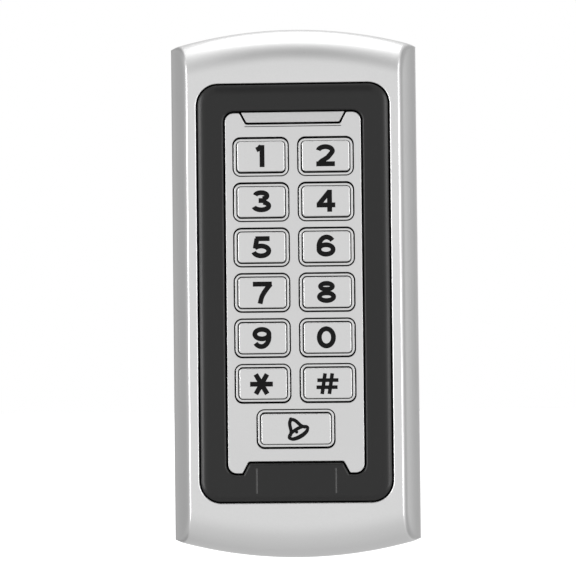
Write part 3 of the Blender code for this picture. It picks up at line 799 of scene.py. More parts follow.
def screw_steel():
    return speckled_material(
        "screw_steel", (0.45, 0.45, 0.46), 0.3, metallic=1.0, flakes=0.15, clouds=0.1, bump=0.2,
    )


# ---------------------------------------------------------------- case

# Where the grid lines lie across the rounding at the case's edge, as shares of its radius.
ROUNDING_SHARES = (0, 0.08, 0.3, 0.62, 1)


def case_row_rules(case):
    """The case's grid rows from its top end to its bottom: an arc's radius, or a straight Y."""
    edge = case.outline_rounding
    start = case.bow_radius - case.roll_length
    rounding = [case.bow_radius - edge * share for share in ROUNDING_SHARES]
    end = math.asin((case.roll_length - edge) / case.roll_radius)
    roll = [start + case.roll_radius * math.sin(end * step / 20) for step in range(19, -1, -1)]
    arcs = rounding + roll
    straight = [y * MM for y in (57, 30, 0, -30, -57)]
    top = [(radius, 0, 1) for radius in arcs]
    return top + [(0, y, 1) for y in straight] + [(radius, 0, -1) for radius in reversed(arcs)]


def case_columns(case, half_width):
    """The case's grid columns from left to right, close together where the strips are."""
    edge = case.outline_rounding
    dense = case.scoop_width + 1.3 * MM - edge
    right = [half_width - edge * share for share in ROUNDING_SHARES]
    right += [half_width - edge - dense * step / 40 for step in range(1, 41)]
    inner = right[-1]
    right += [inner * (1 - step / 13) for step in range(1, 13)]
    return [-x for x in right] + [0] + right[::-1]


def case_height(case, half_width, face, x, y):
    """The case's front surface: its rolled ends and scooped sides, softly blended."""
    bow_centre = CASE[1] / 2 - case.bow_radius
    reach = math.hypot(x, abs(y) - bow_centre)
    roll = min(max(reach - case.bow_radius + case.roll_length, 0), case.roll_length)
    rolled = face - case.roll_radius + math.sqrt(case.roll_radius ** 2 - roll ** 2)
    share = (half_width - abs(x)) / case.scoop_width
    hollow = case.scoop_hollow * 4 * share * (1 - share)
    scooped = face - case.scoop_depth * (1 - share) - hollow
    blend = max(case.edge_softness - abs(rolled - scooped), 0) / case.edge_softness
    height = min(rolled, scooped) - blend ** 2 * case.edge_softness / 4
    edge = case.outline_rounding
    near = min(max(min(half_width - abs(x), case.bow_radius - reach), 0), edge)
    return height - edge + math.sqrt(edge ** 2 - (edge - near) ** 2)


def case_blank(case):
    """The solid case: its curved front, its side wall and its flat back."""
    width, height, back, face, _ = CASE
    half_width = width / 2
    bow_centre = height / 2 - case.bow_radius
    columns = case_columns(case, half_width)
    rows = case_row_rules(case)
    shape = bmesh.new()
    bmesh.ops.create_grid(
        shape, x_segments=len(columns) - 1, y_segments=len(rows) - 1, size=0.5
    )
    for vert in shape.verts:
        x = columns[round((vert.co.x + 0.5) * (len(columns) - 1))]
        radius, level, side = rows[round((0.5 - vert.co.y) * (len(rows) - 1))]
        y = side * (math.sqrt(radius ** 2 - x ** 2) + bow_centre) if radius else level
        vert.co = (x, y, case_height(case, half_width, face, x, y))
    rim = [edge for edge in shape.edges if edge.is_boundary]
    chamfer = 0.25 * MM
    for depth in (back + chamfer, back):
        extruded = bmesh.ops.extrude_edge_only(shape, edges=rim)["geom"]
        lowered = [part for part in extruded if isinstance(part, bmesh.types.BMVert)]
        for vert in lowered:
            vert.co.z = depth
        rim = [part for part in extruded if isinstance(part, bmesh.types.BMEdge)]
    bmesh.ops.scale(
        shape, vec=(1 - chamfer / half_width, 1 - 2 * chamfer / height, 1), verts=lowered
    )
    bmesh.ops.contextual_create(shape, geom=rim)
    bmesh.ops.recalc_face_normals(shape, faces=shape.faces)
    return shape


def case_cavity(case):
    """The hollow behind the front wall: a tray whose mouth is wider than its floor."""
    bow_centre = CASE[1] / 2 - case.bow_radius
    radius = case.bow_radius - case.wall
    side_wall = 2.4 * MM
    floor = 18.8 * MM
    floor_bevel = 4.5 * MM
    half_width = CASE[0] / 2 - side_wall
    cavity = sheet([bowed_outline(half_width, radius, bow_centre)], -1 * MM, floor)
    edges = rim_edges(cavity, floor, lambda x, y: abs(x) > half_width - 0.01 * MM)
    bmesh.ops.bevel(
        cavity, geom=edges, offset=floor_bevel, offset_type="OFFSET", affect="EDGES",
        segments=1, profile=0.5, material=-1,
    )
    return cavity


def pocket_cutter(case):
    """The window frame's pocket, flared at its mouth so that the rim comes out rounded."""
    rim = case.rim_rounding
    flare = 0.25 * MM
    above = 0.8 * MM
    grow = 2 * (rim + flare)
    face = CASE[3]
    steps = [(0, above / 2), (flare, above / 2)] + round_under(rim)
    steps.append((0, face - rim - case.pocket_floor))
    return stack(
        case.pocket_width + grow, case.pocket_height + grow,
        case.pocket_radius + rim + flare, face + above, steps, down=True,
    )


class READER_OT_case(bpy.types.Operator):
    """Makes the cast case with its rolled ends, scooped sides and framed pocket"""

    bl_idname = "reader.case"
    bl_label = "Case"

    def execute(self, context):
        case = context.scene.reader_case
        shape = combine(case_blank(case), case_cavity(case))
        shape = combine(shape, pocket_cutter(case))
        opening_size = (49 * MM, 112 * MM)
        opening = block(*opening_size, 17 * MM, 22 * MM, radius=4 * MM)
        shape = combine(shape, opening)
        rib_size = (12 * MM, 3 * MM)
        rib_x = 12 * MM
        rib_y = 70.5 * MM
        ribs = bmesh.new()
        for side in (-1, 1):
            add_block(ribs, *rib_size, 3.7 * MM, 5.2 * MM, (side * rib_x, rib_y))
        shape = combine(shape, ribs, "UNION")
        bottom = -CASE[1] / 2
        # The locking screw's hole and countersink, as (radius, height above the case's bottom).
        profile = [
            (0, 5 * MM), (1.8 * MM, 5 * MM), (1.8 * MM, 1.6 * MM), (3.3 * MM, 1.6 * MM),
            (3.3 * MM, 0.3 * MM), (4.2 * MM, -0.6 * MM), (0, -0.6 * MM),
        ]
        lock = turned(profile, (0, bottom, LOCK[2] + (LOCK[3] - LOCK[2]) / 2), 48, axis="Y")
        shape = combine(shape, lock)
        across = (case.pocket_width + case.rim_rounding) / 2
        along = (case.pocket_height + case.rim_rounding) / 2
        deep = CASE[3] - case.rim_rounding * 1.01
        # Painted shade on the pocket's floor and walls, in the gap round the window frame.
        shadow_faces(shape, lambda centre, normal: (
            case.pocket_floor - 0.01 * MM < centre.z < deep
            and abs(centre.x) < across and abs(centre.y) < along
        ))
        finish_piece("case_shell", shape, [silver_paint(), gap_shadow()],
                     nodes=["front_housing"], sharp=24)
        return {"FINISHED"}


# ---------------------------------------------------------------- window frame

class READER_OT_window_frame(bpy.types.Operator):
    """Makes the black window frame with its rounded shoulder, its tab and its two grooves"""

    bl_idname = "reader.window_frame"
    bl_label = "Window frame"

    def execute(self, context):
        window = context.scene.reader_window
        keypad = context.scene.reader_keypad
        width, height, back, front, _ = WINDOW
        width += window.overlap
        height += window.overlap
        reach = window.groove_bottom - window.groove_top
        middle = -(window.groove_bottom + window.groove_top) / 2
        grooves = []
        for side in (-1, 1):
            grooves.append([
                (moved(
                    rounded_rectangle(share * window.groove_width, reach, share * 0.1 * MM, 4),
                    side * window.groove_x, middle,
                ), front - depth)
                for share, depth in ((0.1, window.groove_depth), (1, 0))
            ])
        shape = walled([
            eased(
                lambda grow: moved(rounded_rectangle(
                    width + 2 * grow, height + 2 * grow, window.corner + grow, 14
                ), 0, window.shoulder_slant * grow), back, front, window.shoulder, steps=8,
                tilt=window.shoulder_tilt, rim=window.rim_rounding,
            ),
            eased(
                lambda grow: keypad_outline(keypad, window.plate_gap - grow, top_notch=False),
                back, front, window.inner_rounding,
            ),
        ], grooves)
        # Painted shade on the frame's upright walls, in the gaps round it and round the plate.
        shadow_faces(shape, lambda centre, normal: (
            centre.z < front - window.inner_rounding and abs(normal.z) < 0.02
        ))
        finish_piece("window_bezel", shape, [frame_plastic(), gap_shadow()],
                     nodes=["window_frame"], sharp=20)
        return {"FINISHED"}


# ---------------------------------------------------------------- keypad

def key_body(name):
    return "button_" + name


def key_size(name, keypad):
    """The width and height of a key's visible body, and its centre."""
    width, height, _, _, centre = face_on("key_" + name)
    ear = 2 * keypad.key_flange
    return width - ear, height - ear, centre


class READER_OT_keypad_plate(bpy.types.Operator):
    """Makes the silver keypad plate with its key windows, notches, trim line and rear flange"""

    bl_idname = "reader.keypad_plate"
    bl_label = "Keypad plate"

    def execute(self, context):
        keypad = context.scene.reader_keypad
        flange_width, flange_height, back, front, _ = PLATE
        web = 22.5 * MM
        shelf = 21.3 * MM
        soft = keypad.window_rounding
        walls = [eased(
            lambda grow: keypad_outline(keypad, grow, top_notch=True), web, front,
            keypad.plate_rounding,
        )]
        for name in KEY_NAMES:
            width, height, (x, y) = key_size(name, keypad)

            def window_at(grow):
                gap = keypad.window_gap - grow
                window = rounded_rectangle(
                    width + 2 * gap, height + 2 * gap, keypad.key_corner + gap
                )
                return moved(window, x, y)

            walls.append(eased(window_at, web, front, soft, steps=3))
        trim_y = keypad.plate_height / 2 - keypad.notch_depth - 0.62 * MM
        trim_length = 2 * keypad.notch_inner + 0.5 * MM
        trim_width = 0.16 * MM
        trim_depth = 0.34 * MM

        def trim_at(grow):
            trim = rounded_rectangle(trim_length, trim_width - 2 * grow, 0.07 * MM - grow)
            return moved(trim, 0, trim_y)

        shape = walled(walls, [eased(trim_at, front - trim_depth, front, 0.05 * MM, steps=2)])
        tray_size = (36.4 * MM, 90.6 * MM)
        tray = rounded_rectangle(*tray_size, 2 * MM)
        join(shape, sheet([keypad_outline(keypad, 0, top_notch=True), tray], shelf, web))
        flange = rounded_rectangle(flange_width, flange_height, 3.5 * MM)
        join(shape, sheet([flange, tray], back, shelf))
        # Painted shade on the window walls, the trim groove's floor and the shelf and flange seen
        # through the gaps.
        shadow_top = front - 0.29 * MM
        shadow_faces(
            shape, lambda centre, normal: centre.z < shadow_top and normal.z > -0.5
        )
        finish_piece("keypad_face", shape, [plate_paint(), gap_shadow()],
                     nodes=["keypad_plate"], sharp=15)
        return {"FINISHED"}


class READER_OT_keys(bpy.types.Operator):
    """Makes the thirteen keys, each with a rim, a groove and a raised pad, with painted shade in
    the groove and on the sides below the rim
    """

    bl_idname = "reader.keys"
    bl_label = "Keys"

    def execute(self, context):
        keypad = context.scene.reader_keypad
        back = KEY[2]
        front = KEY[3] - context.scene.reader_legend.thickness
        flange = 0.9 * MM
        softness = 0.15 * MM
        rim = keypad.key_rim
        ear = keypad.key_flange
        slack = 0.01 * MM
        pad_shift = 0.07 * MM
        pad_pull = 0.8
        for name in KEY_NAMES:
            width, height, centre = key_size(name, keypad)
            steps = [(0, flange), (ear, 0), (0, rim - softness - back - flange)]
            steps += round_over(softness, 3)
            steps += [(keypad.band_width - softness, 0), (0, -keypad.groove_depth)]
            steps += [(keypad.groove_width, 0)]
            steps += [(0, front - keypad.pad_rounding - rim + keypad.groove_depth)]
            steps += round_over(keypad.pad_rounding, 5)
            shape = stack(
                width + 2 * ear, height + 2 * ear, keypad.key_corner + ear, back, steps, centre
            )
            inside = keypad.band_width + keypad.groove_width - slack
            pad = [
                vert for vert in shape.verts
                if abs(vert.co.x - centre[0]) < width / 2 - inside
                and abs(vert.co.y - centre[1]) < height / 2 - inside
                and vert.co.z > rim - keypad.groove_depth - slack
            ]
            pull = keypad.mat_shrink * centre[1]
            bmesh.ops.translate(shape, vec=(pad_shift, pad_pull * pull, 0), verts=pad)
            bmesh.ops.translate(shape, vec=(0, -pull, 0), verts=shape.verts)
            # Painted shade in the groove and on the key's sides below its rim.
            shadow_faces(shape, lambda at, normal: at.z < rim - softness)
            finish_piece("cap_" + name, shape, [key_finish(), gap_shadow()],
                         key_body(name), ["key_" + name])
        return {"FINISHED"}


# ---------------------------------------------------------------- legends

def offset_path(path, width):
    """The two sides of a stroke of even width along a path."""
    sides = ([], [])
    count = len(path)
    for index, (x, y) in enumerate(path):
        before = path[max(index - 1, 0)]
        after = path[min(index + 1, count - 1)]
        arriving = Vector((x - before[0], y - before[1]))
        leaving = Vector((after[0] - x, after[1] - y))
        arriving = (arriving if arriving.length else leaving).normalized()
        leaving = (leaving if leaving.length else arriving).normalized()
        along = (arriving + leaving).normalized()
        across = Vector((-along.y, along.x))
        reach = width / 2 / max(across.dot(Vector((-arriving.y, arriving.x))), 0.5)
        sides[0].append((x + across.x * reach, y + across.y * reach))
        sides[1].append((x - across.x * reach, y - across.y * reach))
    return sides


def ring_outlines(path, width):
    """The outer and inner ovals of a stroke along an oval path."""
    outlines = []
    xs, ys = zip(*path)
    middle = Vector((max(xs) + min(xs), max(ys) + min(ys))) / 2
    reach = Vector((max(xs) - min(xs), max(ys) - min(ys))) / 2
    for side in (1, -1):
        wider = 1 + side * width / 2 / reach.x
        taller = 1 + side * width / 2 / reach.y
        outlines.append([
            (middle.x + (x - middle.x) * wider, middle.y + (y - middle.y) * taller)
            for x, y in path
        ])
    return outlines


def stroke_outlines(path, width, closed=False):
    if closed:
        return ring_outlines(path, width)
    left, right = offset_path(path, width)
    return [left + right[::-1]]


def digit_strokes(name, w, h, s):
    """A digit's strokes as (path, closed), in a box from 0, 0 to w, h with stroke width s."""
    r = s / 2
    middle = w / 2
    right = w - r
    top = h - r
    if name == "1":
        stem = [(0.66 * w, 0), (0.66 * w, h)]
        flag = [(0.36 * w, 0.78 * h), (0.50 * w, 0.835 * h), (0.62 * w, 0.96 * h)]
        return [(stem, False), (flag, False)]
    if name == "2":
        bowl = ellipse_points(middle, 0.70 * h, middle - r, 0.30 * h - r, 172, -25, 20)
        tail = [(0.62 * w, 0.40 * h), (0.30 * w, 0.235 * h), (0.15 * w, r)]
        return [(bowl + tail, False), ([(0.02 * w, r), (w, r)], False)]
    if name == "3":
        upper = ellipse_points(0.47 * w, 0.745 * h, 0.44 * w - r, 0.255 * h - r, 170, -75, 20)
        lower = ellipse_points(0.48 * w, 0.285 * h, 0.52 * w - r, 0.285 * h - r, 75, -170, 22)
        bar = [(0.34 * w, 0.53 * h), (0.62 * w, 0.53 * h)]
        return [(upper, False), (lower, False), (bar, False)]
    if name == "4":
        stem = [(0.70 * w, 0), (0.70 * w, h)]
        arm = [(0.66 * w, h - r), (r, 0.335 * h)]
        return [(stem, False), (arm, False), ([(0.02 * w, 0.31 * h), (w, 0.31 * h)], False)]
    if name == "5":
        bowl = ellipse_points(0.47 * w, 0.335 * h, 0.53 * w - r, 0.335 * h - r, 146, -168, 26)
        stem = [(0.16 * w, 0.44 * h), (0.25 * w, top)]
        return [(bowl, False), (stem, False), ([(0.17 * w, top), (0.92 * w, top)], False)]
    if name in "69":
        bowl = ellipse_points(middle, 0.325 * h, middle - r, 0.325 * h - r, 0, 345, 30)
        back = ellipse_points(0.53 * w, 0.45 * h, 0.53 * w - r, 0.55 * h - r, 195, 40, 22)
        strokes = [(bowl, True), (back, False)]
        if name == "9":
            strokes = [([(w - x, h - y) for x, y in path], shut) for path, shut in strokes]
        return strokes
    if name == "7":
        slope = [(0.94 * w, top), (0.70 * w, 0.64 * h), (0.48 * w, 0.34 * h), (0.37 * w, 0)]
        return [([(0, top), (w, top)], False), (smooth_path(slope), False)]
    if name == "8":
        upper = ellipse_points(middle, 0.755 * h, 0.44 * w - r, 0.245 * h - r, 0, 345, 28)
        lower = ellipse_points(middle, 0.285 * h, middle - r, 0.285 * h - r, 0, 345, 30)
        return [(upper, True), (lower, True)]
    if name == "0":
        return [(ellipse_points(middle, h / 2, right - middle, h / 2 - r, 0, 350, 36), True)]
    raise ValueError(f"no strokes for {name}")


def smooth_path(points, steps=6):
    """A smooth curve through the points."""
    path = []
    for index in range(len(points) - 1):
        a = Vector(points[max(index - 1, 0)])
        b = Vector(points[index])
        c = Vector(points[index + 1])
        d = Vector(points[min(index + 2, len(points) - 1)])
        for step in range(steps):
            t = step / steps
            path.append(tuple(
                0.5 * ((2 * b) + (c - a) * t + (2 * a - 5 * b + 4 * c - d) * t * t
                       + (3 * b - a - 3 * c + d) * t ** 3)
            ))
    return path + [points[-1]]


def star_strokes(size):
    """Three bars that cross in the middle."""
    strokes = []
    for angle in (0, 60, 120):
        x = math.cos(math.radians(angle)) * size / 2
        y = math.sin(math.radians(angle)) * size / 2
        strokes.append(([(-x, -y), (x, y)], False))
    return strokes


def hash_strokes(width, height):
    """Two level bars and two leaning ones."""
    lean = 0.07 * width
    strokes = []
    for side in (-1, 1):
        y = side * 0.17 * height
        shift = side * 0.02 * width
        strokes.append(([(-0.46 * width + shift, y), (0.48 * width + shift, y)], False))
        x = side * 0.16 * width
        strokes.append(([(x - lean, -height / 2), (x + lean, height / 2)], False))
    return strokes


# How far right of and above its key's middle each legend is printed, in millimetres.
LEGEND_PLACES = {
    "1": (-0.42, 0.12), "2": (-0.03, 0.12), "3": (0.2, 0.17), "4": (-0.05, 0.08),
    "5": (0.08, 0), "6": (-0.12, 0.25), "7": (0.15, 0), "8": (-0.12, 0), "9": (-0.12, 0.05),
    "0": (-0.3, 0.05), "star": (-0.38, -0.12), "hash": (-0.2, -0.17), "bell": (0.17, -0.05),
}


def bell_strokes():
    """A hand bell's dome, mouth and lip, seen from a little below."""
    right = [(0, 14.6), (2.2, 13.4), (3.8, 10.6), (4.9, 7.0), (6.0, 4.2), (9.0, 1.1)]
    dome = [(-x, y) for x, y in reversed(right[1:])] + right
    mouth = ellipse_points(0, 0, 10.3, 3.9, 0, 352, 44)
    lip = ellipse_points(0, -0.7, 9.6, 3.9, 195, 345, 24)
    return [(smooth_path(dome), False), (mouth, True), (lip, False)]


def legend_layer(index, front):
    """The back and front of a legend's stroke, each a hair below the one before it."""
    depth = 0.05
    back_step = 0.003
    front_step = 0.0015
    return front - (depth + back_step * index) * MM, front - front_step * index * MM


def legend_shape(strokes, width, front):
    """Strokes laid over each other as thin solids on a key's pad."""
    shape = bmesh.new()
    for index, (path, closed) in enumerate(strokes):
        outlines = stroke_outlines(path, width, closed)
        join(shape, sheet(outlines, *legend_layer(index, front)))
    return shape


class READER_OT_legends(bpy.types.Operator):
    """Makes the black digits and signs on the keys"""

    bl_idname = "reader.legends"
    bl_label = "Legends"

    def execute(self, context):
        legend = context.scene.reader_legend
        front = KEY[3]
        for name in KEY_NAMES:
            centre = face_on("key_" + name)[4]
            width = legend.stroke
            if name == "star":
                strokes = star_strokes(6.4 * MM)
            elif name == "hash":
                strokes = hash_strokes(6.3 * MM, 5.8 * MM)
                width = 1.05 * MM
            elif name == "bell":
                strokes = bell_strokes()
                width = legend.bell_stroke
            else:
                strokes = digit_strokes(
                    name, legend.digit_width, legend.digit_height, legend.stroke
                )
            size = legend.bell_scale if name == "bell" else 1
            middle = (0, 0)
            if name.isdigit():
                middle = (legend.digit_width / 2, legend.digit_height / 2)
            paths = [
                ([((x - middle[0]) * size, (y - middle[1]) * size) for x, y in path], closed)
                for path, closed in strokes
            ]
            shape = legend_shape(paths, width, front)
            if name == "bell":
                knob = (1.9, 0, 15.4)
                clapper = (1.7, -1.3, 1.5)
                for index, (radius, across, height) in enumerate((knob, clapper), len(paths)):
                    add_cylinder(shape, radius * size, *legend_layer(index, front), 24,
                                 (across * size, height * size))
                turn = Matrix.Rotation(legend.bell_tilt, 4, "Z")
                drop = Matrix.Translation((0, -4.0 * size, 0))
                bmesh.ops.transform(shape, matrix=turn @ drop, verts=shape.verts)
            x, y = (MM * part for part in LEGEND_PLACES[name])
            pull = context.scene.reader_keypad.mat_shrink * centre[1]
            place = (centre[0] + x, centre[1] + y - 0.2 * pull, 0)
            bmesh.ops.translate(shape, vec=place, verts=shape.verts)
            finish_piece("legend_" + name, shape, [legend_ink()], key_body(name))
        return {"FINISHED"}


# ---------------------------------------------------------------- light bar

class READER_OT_light_bar(bpy.types.Operator):
    """Makes the status light bar, unlit as on a reader at rest"""

    bl_idname = "reader.light_bar"
    bl_label = "Light bar"

    def execute(self, context):
        keypad = context.scene.reader_keypad
        _, _, back, front, _ = BAR
        gap = 0.52 * MM
        soft = 0.2 * MM
        lens_back = 21.6 * MM
        stem_size = (22.6 * MM, 2 * MM)
        top = keypad.plate_height / 2 + 0.05 * MM
        shape = walled([eased(
            lambda grow: bar_outline(keypad, gap - grow, top + grow), lens_back, front, soft
        )])
        # Painted shade on the bar's walls, in the gap round it.
        shadow_faces(shape, lambda centre, normal: centre.z < front - soft)
        stem = block(*stem_size, back, 21.7 * MM, (0, top - 1.45 * MM))
        shape = combine(shape, stem, "UNION")
        finish_piece("light_bar_lens", shape, [light_pipe(), gap_shadow()],
                     nodes=["light_bar"])
        return {"FINISHED"}


# ---------------------------------------------------------------- inside

class READER_OT_inside(bpy.types.Operator):
    """Gives the circuit board, its parts, the key mat and the cover their finishes"""

    bl_idname = "reader.inside"
    bl_label = "Inside"

    def execute(self, context):
        black = speckled_material("moulded_black", (0.02, 0.02, 0.02), 0.5, flakes=0.3, bump=0.3)
        can = brushed_material("drawn_can", (0.6, 0.6, 0.58), 0.35, (60.0, 900.0, 60.0))
        dressed = {
            "main_board": speckled_material(
                "solder_mask", (0.02, 0.2, 0.07), 0.45, flake_scale=900.0, flakes=0.5, clouds=0.3,
                Coat_Weight=0.4,
            ),
            "keypad_mat": speckled_material(
                "silicone", (0.3, 0.31, 0.33), 0.7, flakes=0.1, bump=0.2,
            ),
            "aerial_coil": brushed_material(
                "copper_winding", (0.72, 0.33, 0.16), 0.4, (1500.0, 1500.0, 1500.0),
            ),
            "relay": speckled_material("relay_blue", (0.05, 0.15, 0.5), 0.4, flakes=0.1),
            "controller_chip": black,
            "reader_chip": black,
            "voltage_regulator": black,
            "buzzer": black,
            "crystal": can,
            "capacitor": can,
            "wire_header": speckled_material(
                "header_white", (0.82, 0.8, 0.74), 0.5, flakes=0.06,
            ),
            "tamper_sensor": speckled_material(
                "sensor_lens", (0.7, 0.72, 0.75), 0.2, flakes=0.04, Coat_Weight=0.6,
            ),
            "back_cover": speckled_material(
                "cover_plastic", (0.04, 0.04, 0.043), 0.6, flakes=0.3, bump=0.5, depth=0.03,
            ),
        }
        for lamp, tint in (("red", (0.7, 0.04, 0.04)), ("green", (0.04, 0.6, 0.1)),
                           ("amber", (0.8, 0.42, 0.04))):
            dressed["lamp_" + lamp] = speckled_material(
                "lens_" + lamp, tint, 0.2, flakes=0.05, Coat_Weight=0.5,
            )
        for number in range(1, 5):
            dressed[f"cover_screw_{number}"] = screw_steel()
        for node, material in dressed.items():
            dress_node(node, material)
        return {"FINISHED"}


# ---------------------------------------------------------------- wall side

def hole_outline(x, y, radius, steps=48):
    return arc_points(x, y, radius, 0, math.tau * (steps - 1) / steps, steps - 1)


class READER_OT_wall_side(bpy.types.Operator):
    """Makes the wall plate, the gasket, the cable grommet and the locking screw"""

    bl_idname = "reader.wall_side"
    bl_label = "Wall side"

    def execute(self, context):
        case = context.scene.reader_case
        self.make_gasket(case)
        self.make_plate(case)
        self.make_grommet()
        self.make_lock()
        return {"FINISHED"}

    def make_gasket(self, case):
        bow_centre = CASE[1] / 2 - case.bow_radius
        width, _, back, front, _ = GASKET
        soft = 0.3 * MM
        opening = 33 * MM
        outer_inset = 0.2 * MM
        inner_inset = 3.1 * MM
        shape = walled([
            eased(
                lambda grow: bowed_outline(
                    width / 2 + grow, case.bow_radius - outer_inset + grow, bow_centre
                ), back, front, soft, soft,
            ),
            eased(
                lambda grow: bowed_outline(
                    opening - grow, case.bow_radius - inner_inset - grow, bow_centre
                ), back, front, soft, soft,
            ),
        ])
        finish_piece("wall_seal", shape, [seal_rubber()], nodes=["wall_gasket"])

    def make_plate(self, case):
        bow_centre = CASE[1] / 2 - case.bow_radius
        width, _, back, _, _ = SHEET
        front = 1.5 * MM
        sensor = face_on("tamper_sensor")[4]
        cable = GROMMET[4]
        screw = 2.1 * MM
        cable_hole = 9 * MM
        sensor_hole = 3 * MM
        slot_length = 9 * MM
        slot_y = 41.75 * MM
        hook_x = 12 * MM
        hook_width = 8 * MM
        hook_front = 7.2 * MM
        soft = 0.15 * MM
        holes = [(x * 22 * MM, y * 50 * MM, screw) for x in (-1, 1) for y in (-1, 1)]
        holes += [(*cable, cable_hole), (*sensor, sensor_hole)]
        walls = [eased(
            lambda grow: bowed_outline(
                width / 2 + grow, case.bow_radius - case.wall - 0.3 * MM + grow, bow_centre
            ), back, front, soft, soft, steps=2,
        )]
        for x, y, radius in holes:
            walls.append(eased(
                lambda grow: hole_outline(x, y, radius - grow), back, front, soft, soft, steps=2
            ))
        for side in (-1, 1):
            walls.append(eased(
                lambda grow: moved(
                    rounded_rectangle(
                        2 * (screw - grow), slot_length - 2 * grow, 0.98 * screw - grow
                    ), 0, side * slot_y,
                ), back, front, soft, soft, steps=2,
            ))
        shape = walled(walls)
        tabs = bmesh.new()
        for side in (-1, 1):
            place = (side * hook_x, 67.65 * MM)
            add_block(tabs, hook_width, 1.5 * MM, 0.5 * MM, hook_front, place)
        add_block(tabs, 14 * MM, 1.5 * MM, 0.5 * MM, SHEET[3], (0, -69.85 * MM))
        shape = combine(shape, tabs, "UNION")
        lips = bmesh.new()
        for side in (-1, 1):
            place = (side * hook_x, 68.7 * MM)
            add_block(lips, hook_width, 2.4 * MM, 5.7 * MM, hook_front, place)
        shape = combine(shape, lips, "UNION")
        thread = turned([(0, -3 * MM), (1.75 * MM, -3 * MM), (1.75 * MM, 3 * MM), (0, 3 * MM)],
                        (0, -69.1 * MM, 6 * MM), 32, axis="Y")
        shape = combine(shape, thread)
        finish_piece("mounting_sheet", shape, [zinc_sheet()],
                     nodes=["wall_plate"])

    def make_grommet(self):
        _, _, back, front, cable = GROMMET
        bore = 3.6 * MM
        neck = 6 * MM
        lip = 1.2 * MM
        wide = GROMMET[0] / 2
        soft = 0.5 * MM
        profile = [
            (bore, front - 0.3 * MM), (bore + 0.3 * MM, front), (wide - soft, front),
            (wide, front - soft), (wide, front - lip), (neck, front - lip), (neck, back + lip),
            (wide, back + lip), (wide, back + soft), (wide - soft, back),
            (bore + 0.3 * MM, back), (bore, back + 0.3 * MM),
        ]
        shape = turned(profile, (*cable, 0))
        finish_piece("cable_seal", shape, [seal_rubber()],
                     nodes=["cable_grommet"])

    def make_lock(self):
        """A round head with a six-sided socket and the pin that keeps plain keys out."""
        bottom = -CASE[1] / 2 + 1.3 * MM
        head = LOCK[0] / 2
        tall = 1.1 * MM
        shank = 1.45 * MM
        profile = [
            (0, 7 * MM), (shank - 0.3 * MM, 7 * MM), (shank, 6.5 * MM), (shank, 0),
            (head - 0.1 * MM, 0), (head, -0.1 * MM), (head - 0.1 * MM, -0.45 * tall),
            (0.85 * head, -0.75 * tall), (0.6 * head, -0.95 * tall), (0, -tall),
        ]
        depth = LOCK[2] + (LOCK[3] - LOCK[2]) / 2
        shape = turned(profile, (0, 0, 0), 48)
        socket = bmesh.new()
        add_cylinder(socket, 1.35 * MM, -tall - MM, -0.35 * tall, sides=6)
        shape = combine(shape, socket)
        pin = bmesh.new()
        add_cylinder(pin, 0.4 * MM, -tall, -0.2 * tall, sides=20)
        shape = combine(shape, pin, "UNION")
        turn = Matrix.Translation((0, bottom, depth)) @ Matrix.Rotation(-math.pi / 2, 4, "X")
        bmesh.ops.transform(shape, matrix=turn, verts=shape.verts)
        finish_piece("security_screw", shape, [screw_steel()],
                     nodes=["locking_screw"])


# ---------------------------------------------------------------- stage

def ramp_of(nodes, value, stops):
    """A colour ramp of grey stops (place, tone)."""
    ramp = nodes.add("ShaderNodeValToRGB", {"Fac": value})
    elements = ramp.color_ramp.elements
    while len(elements) < len(stops):
        elements.new(0.5)
    for element, (place, tone) in zip(elements, stops):
        element.position = place
        element.color = (tone, tone, tone, 1)
    return ramp.outputs["Color"]


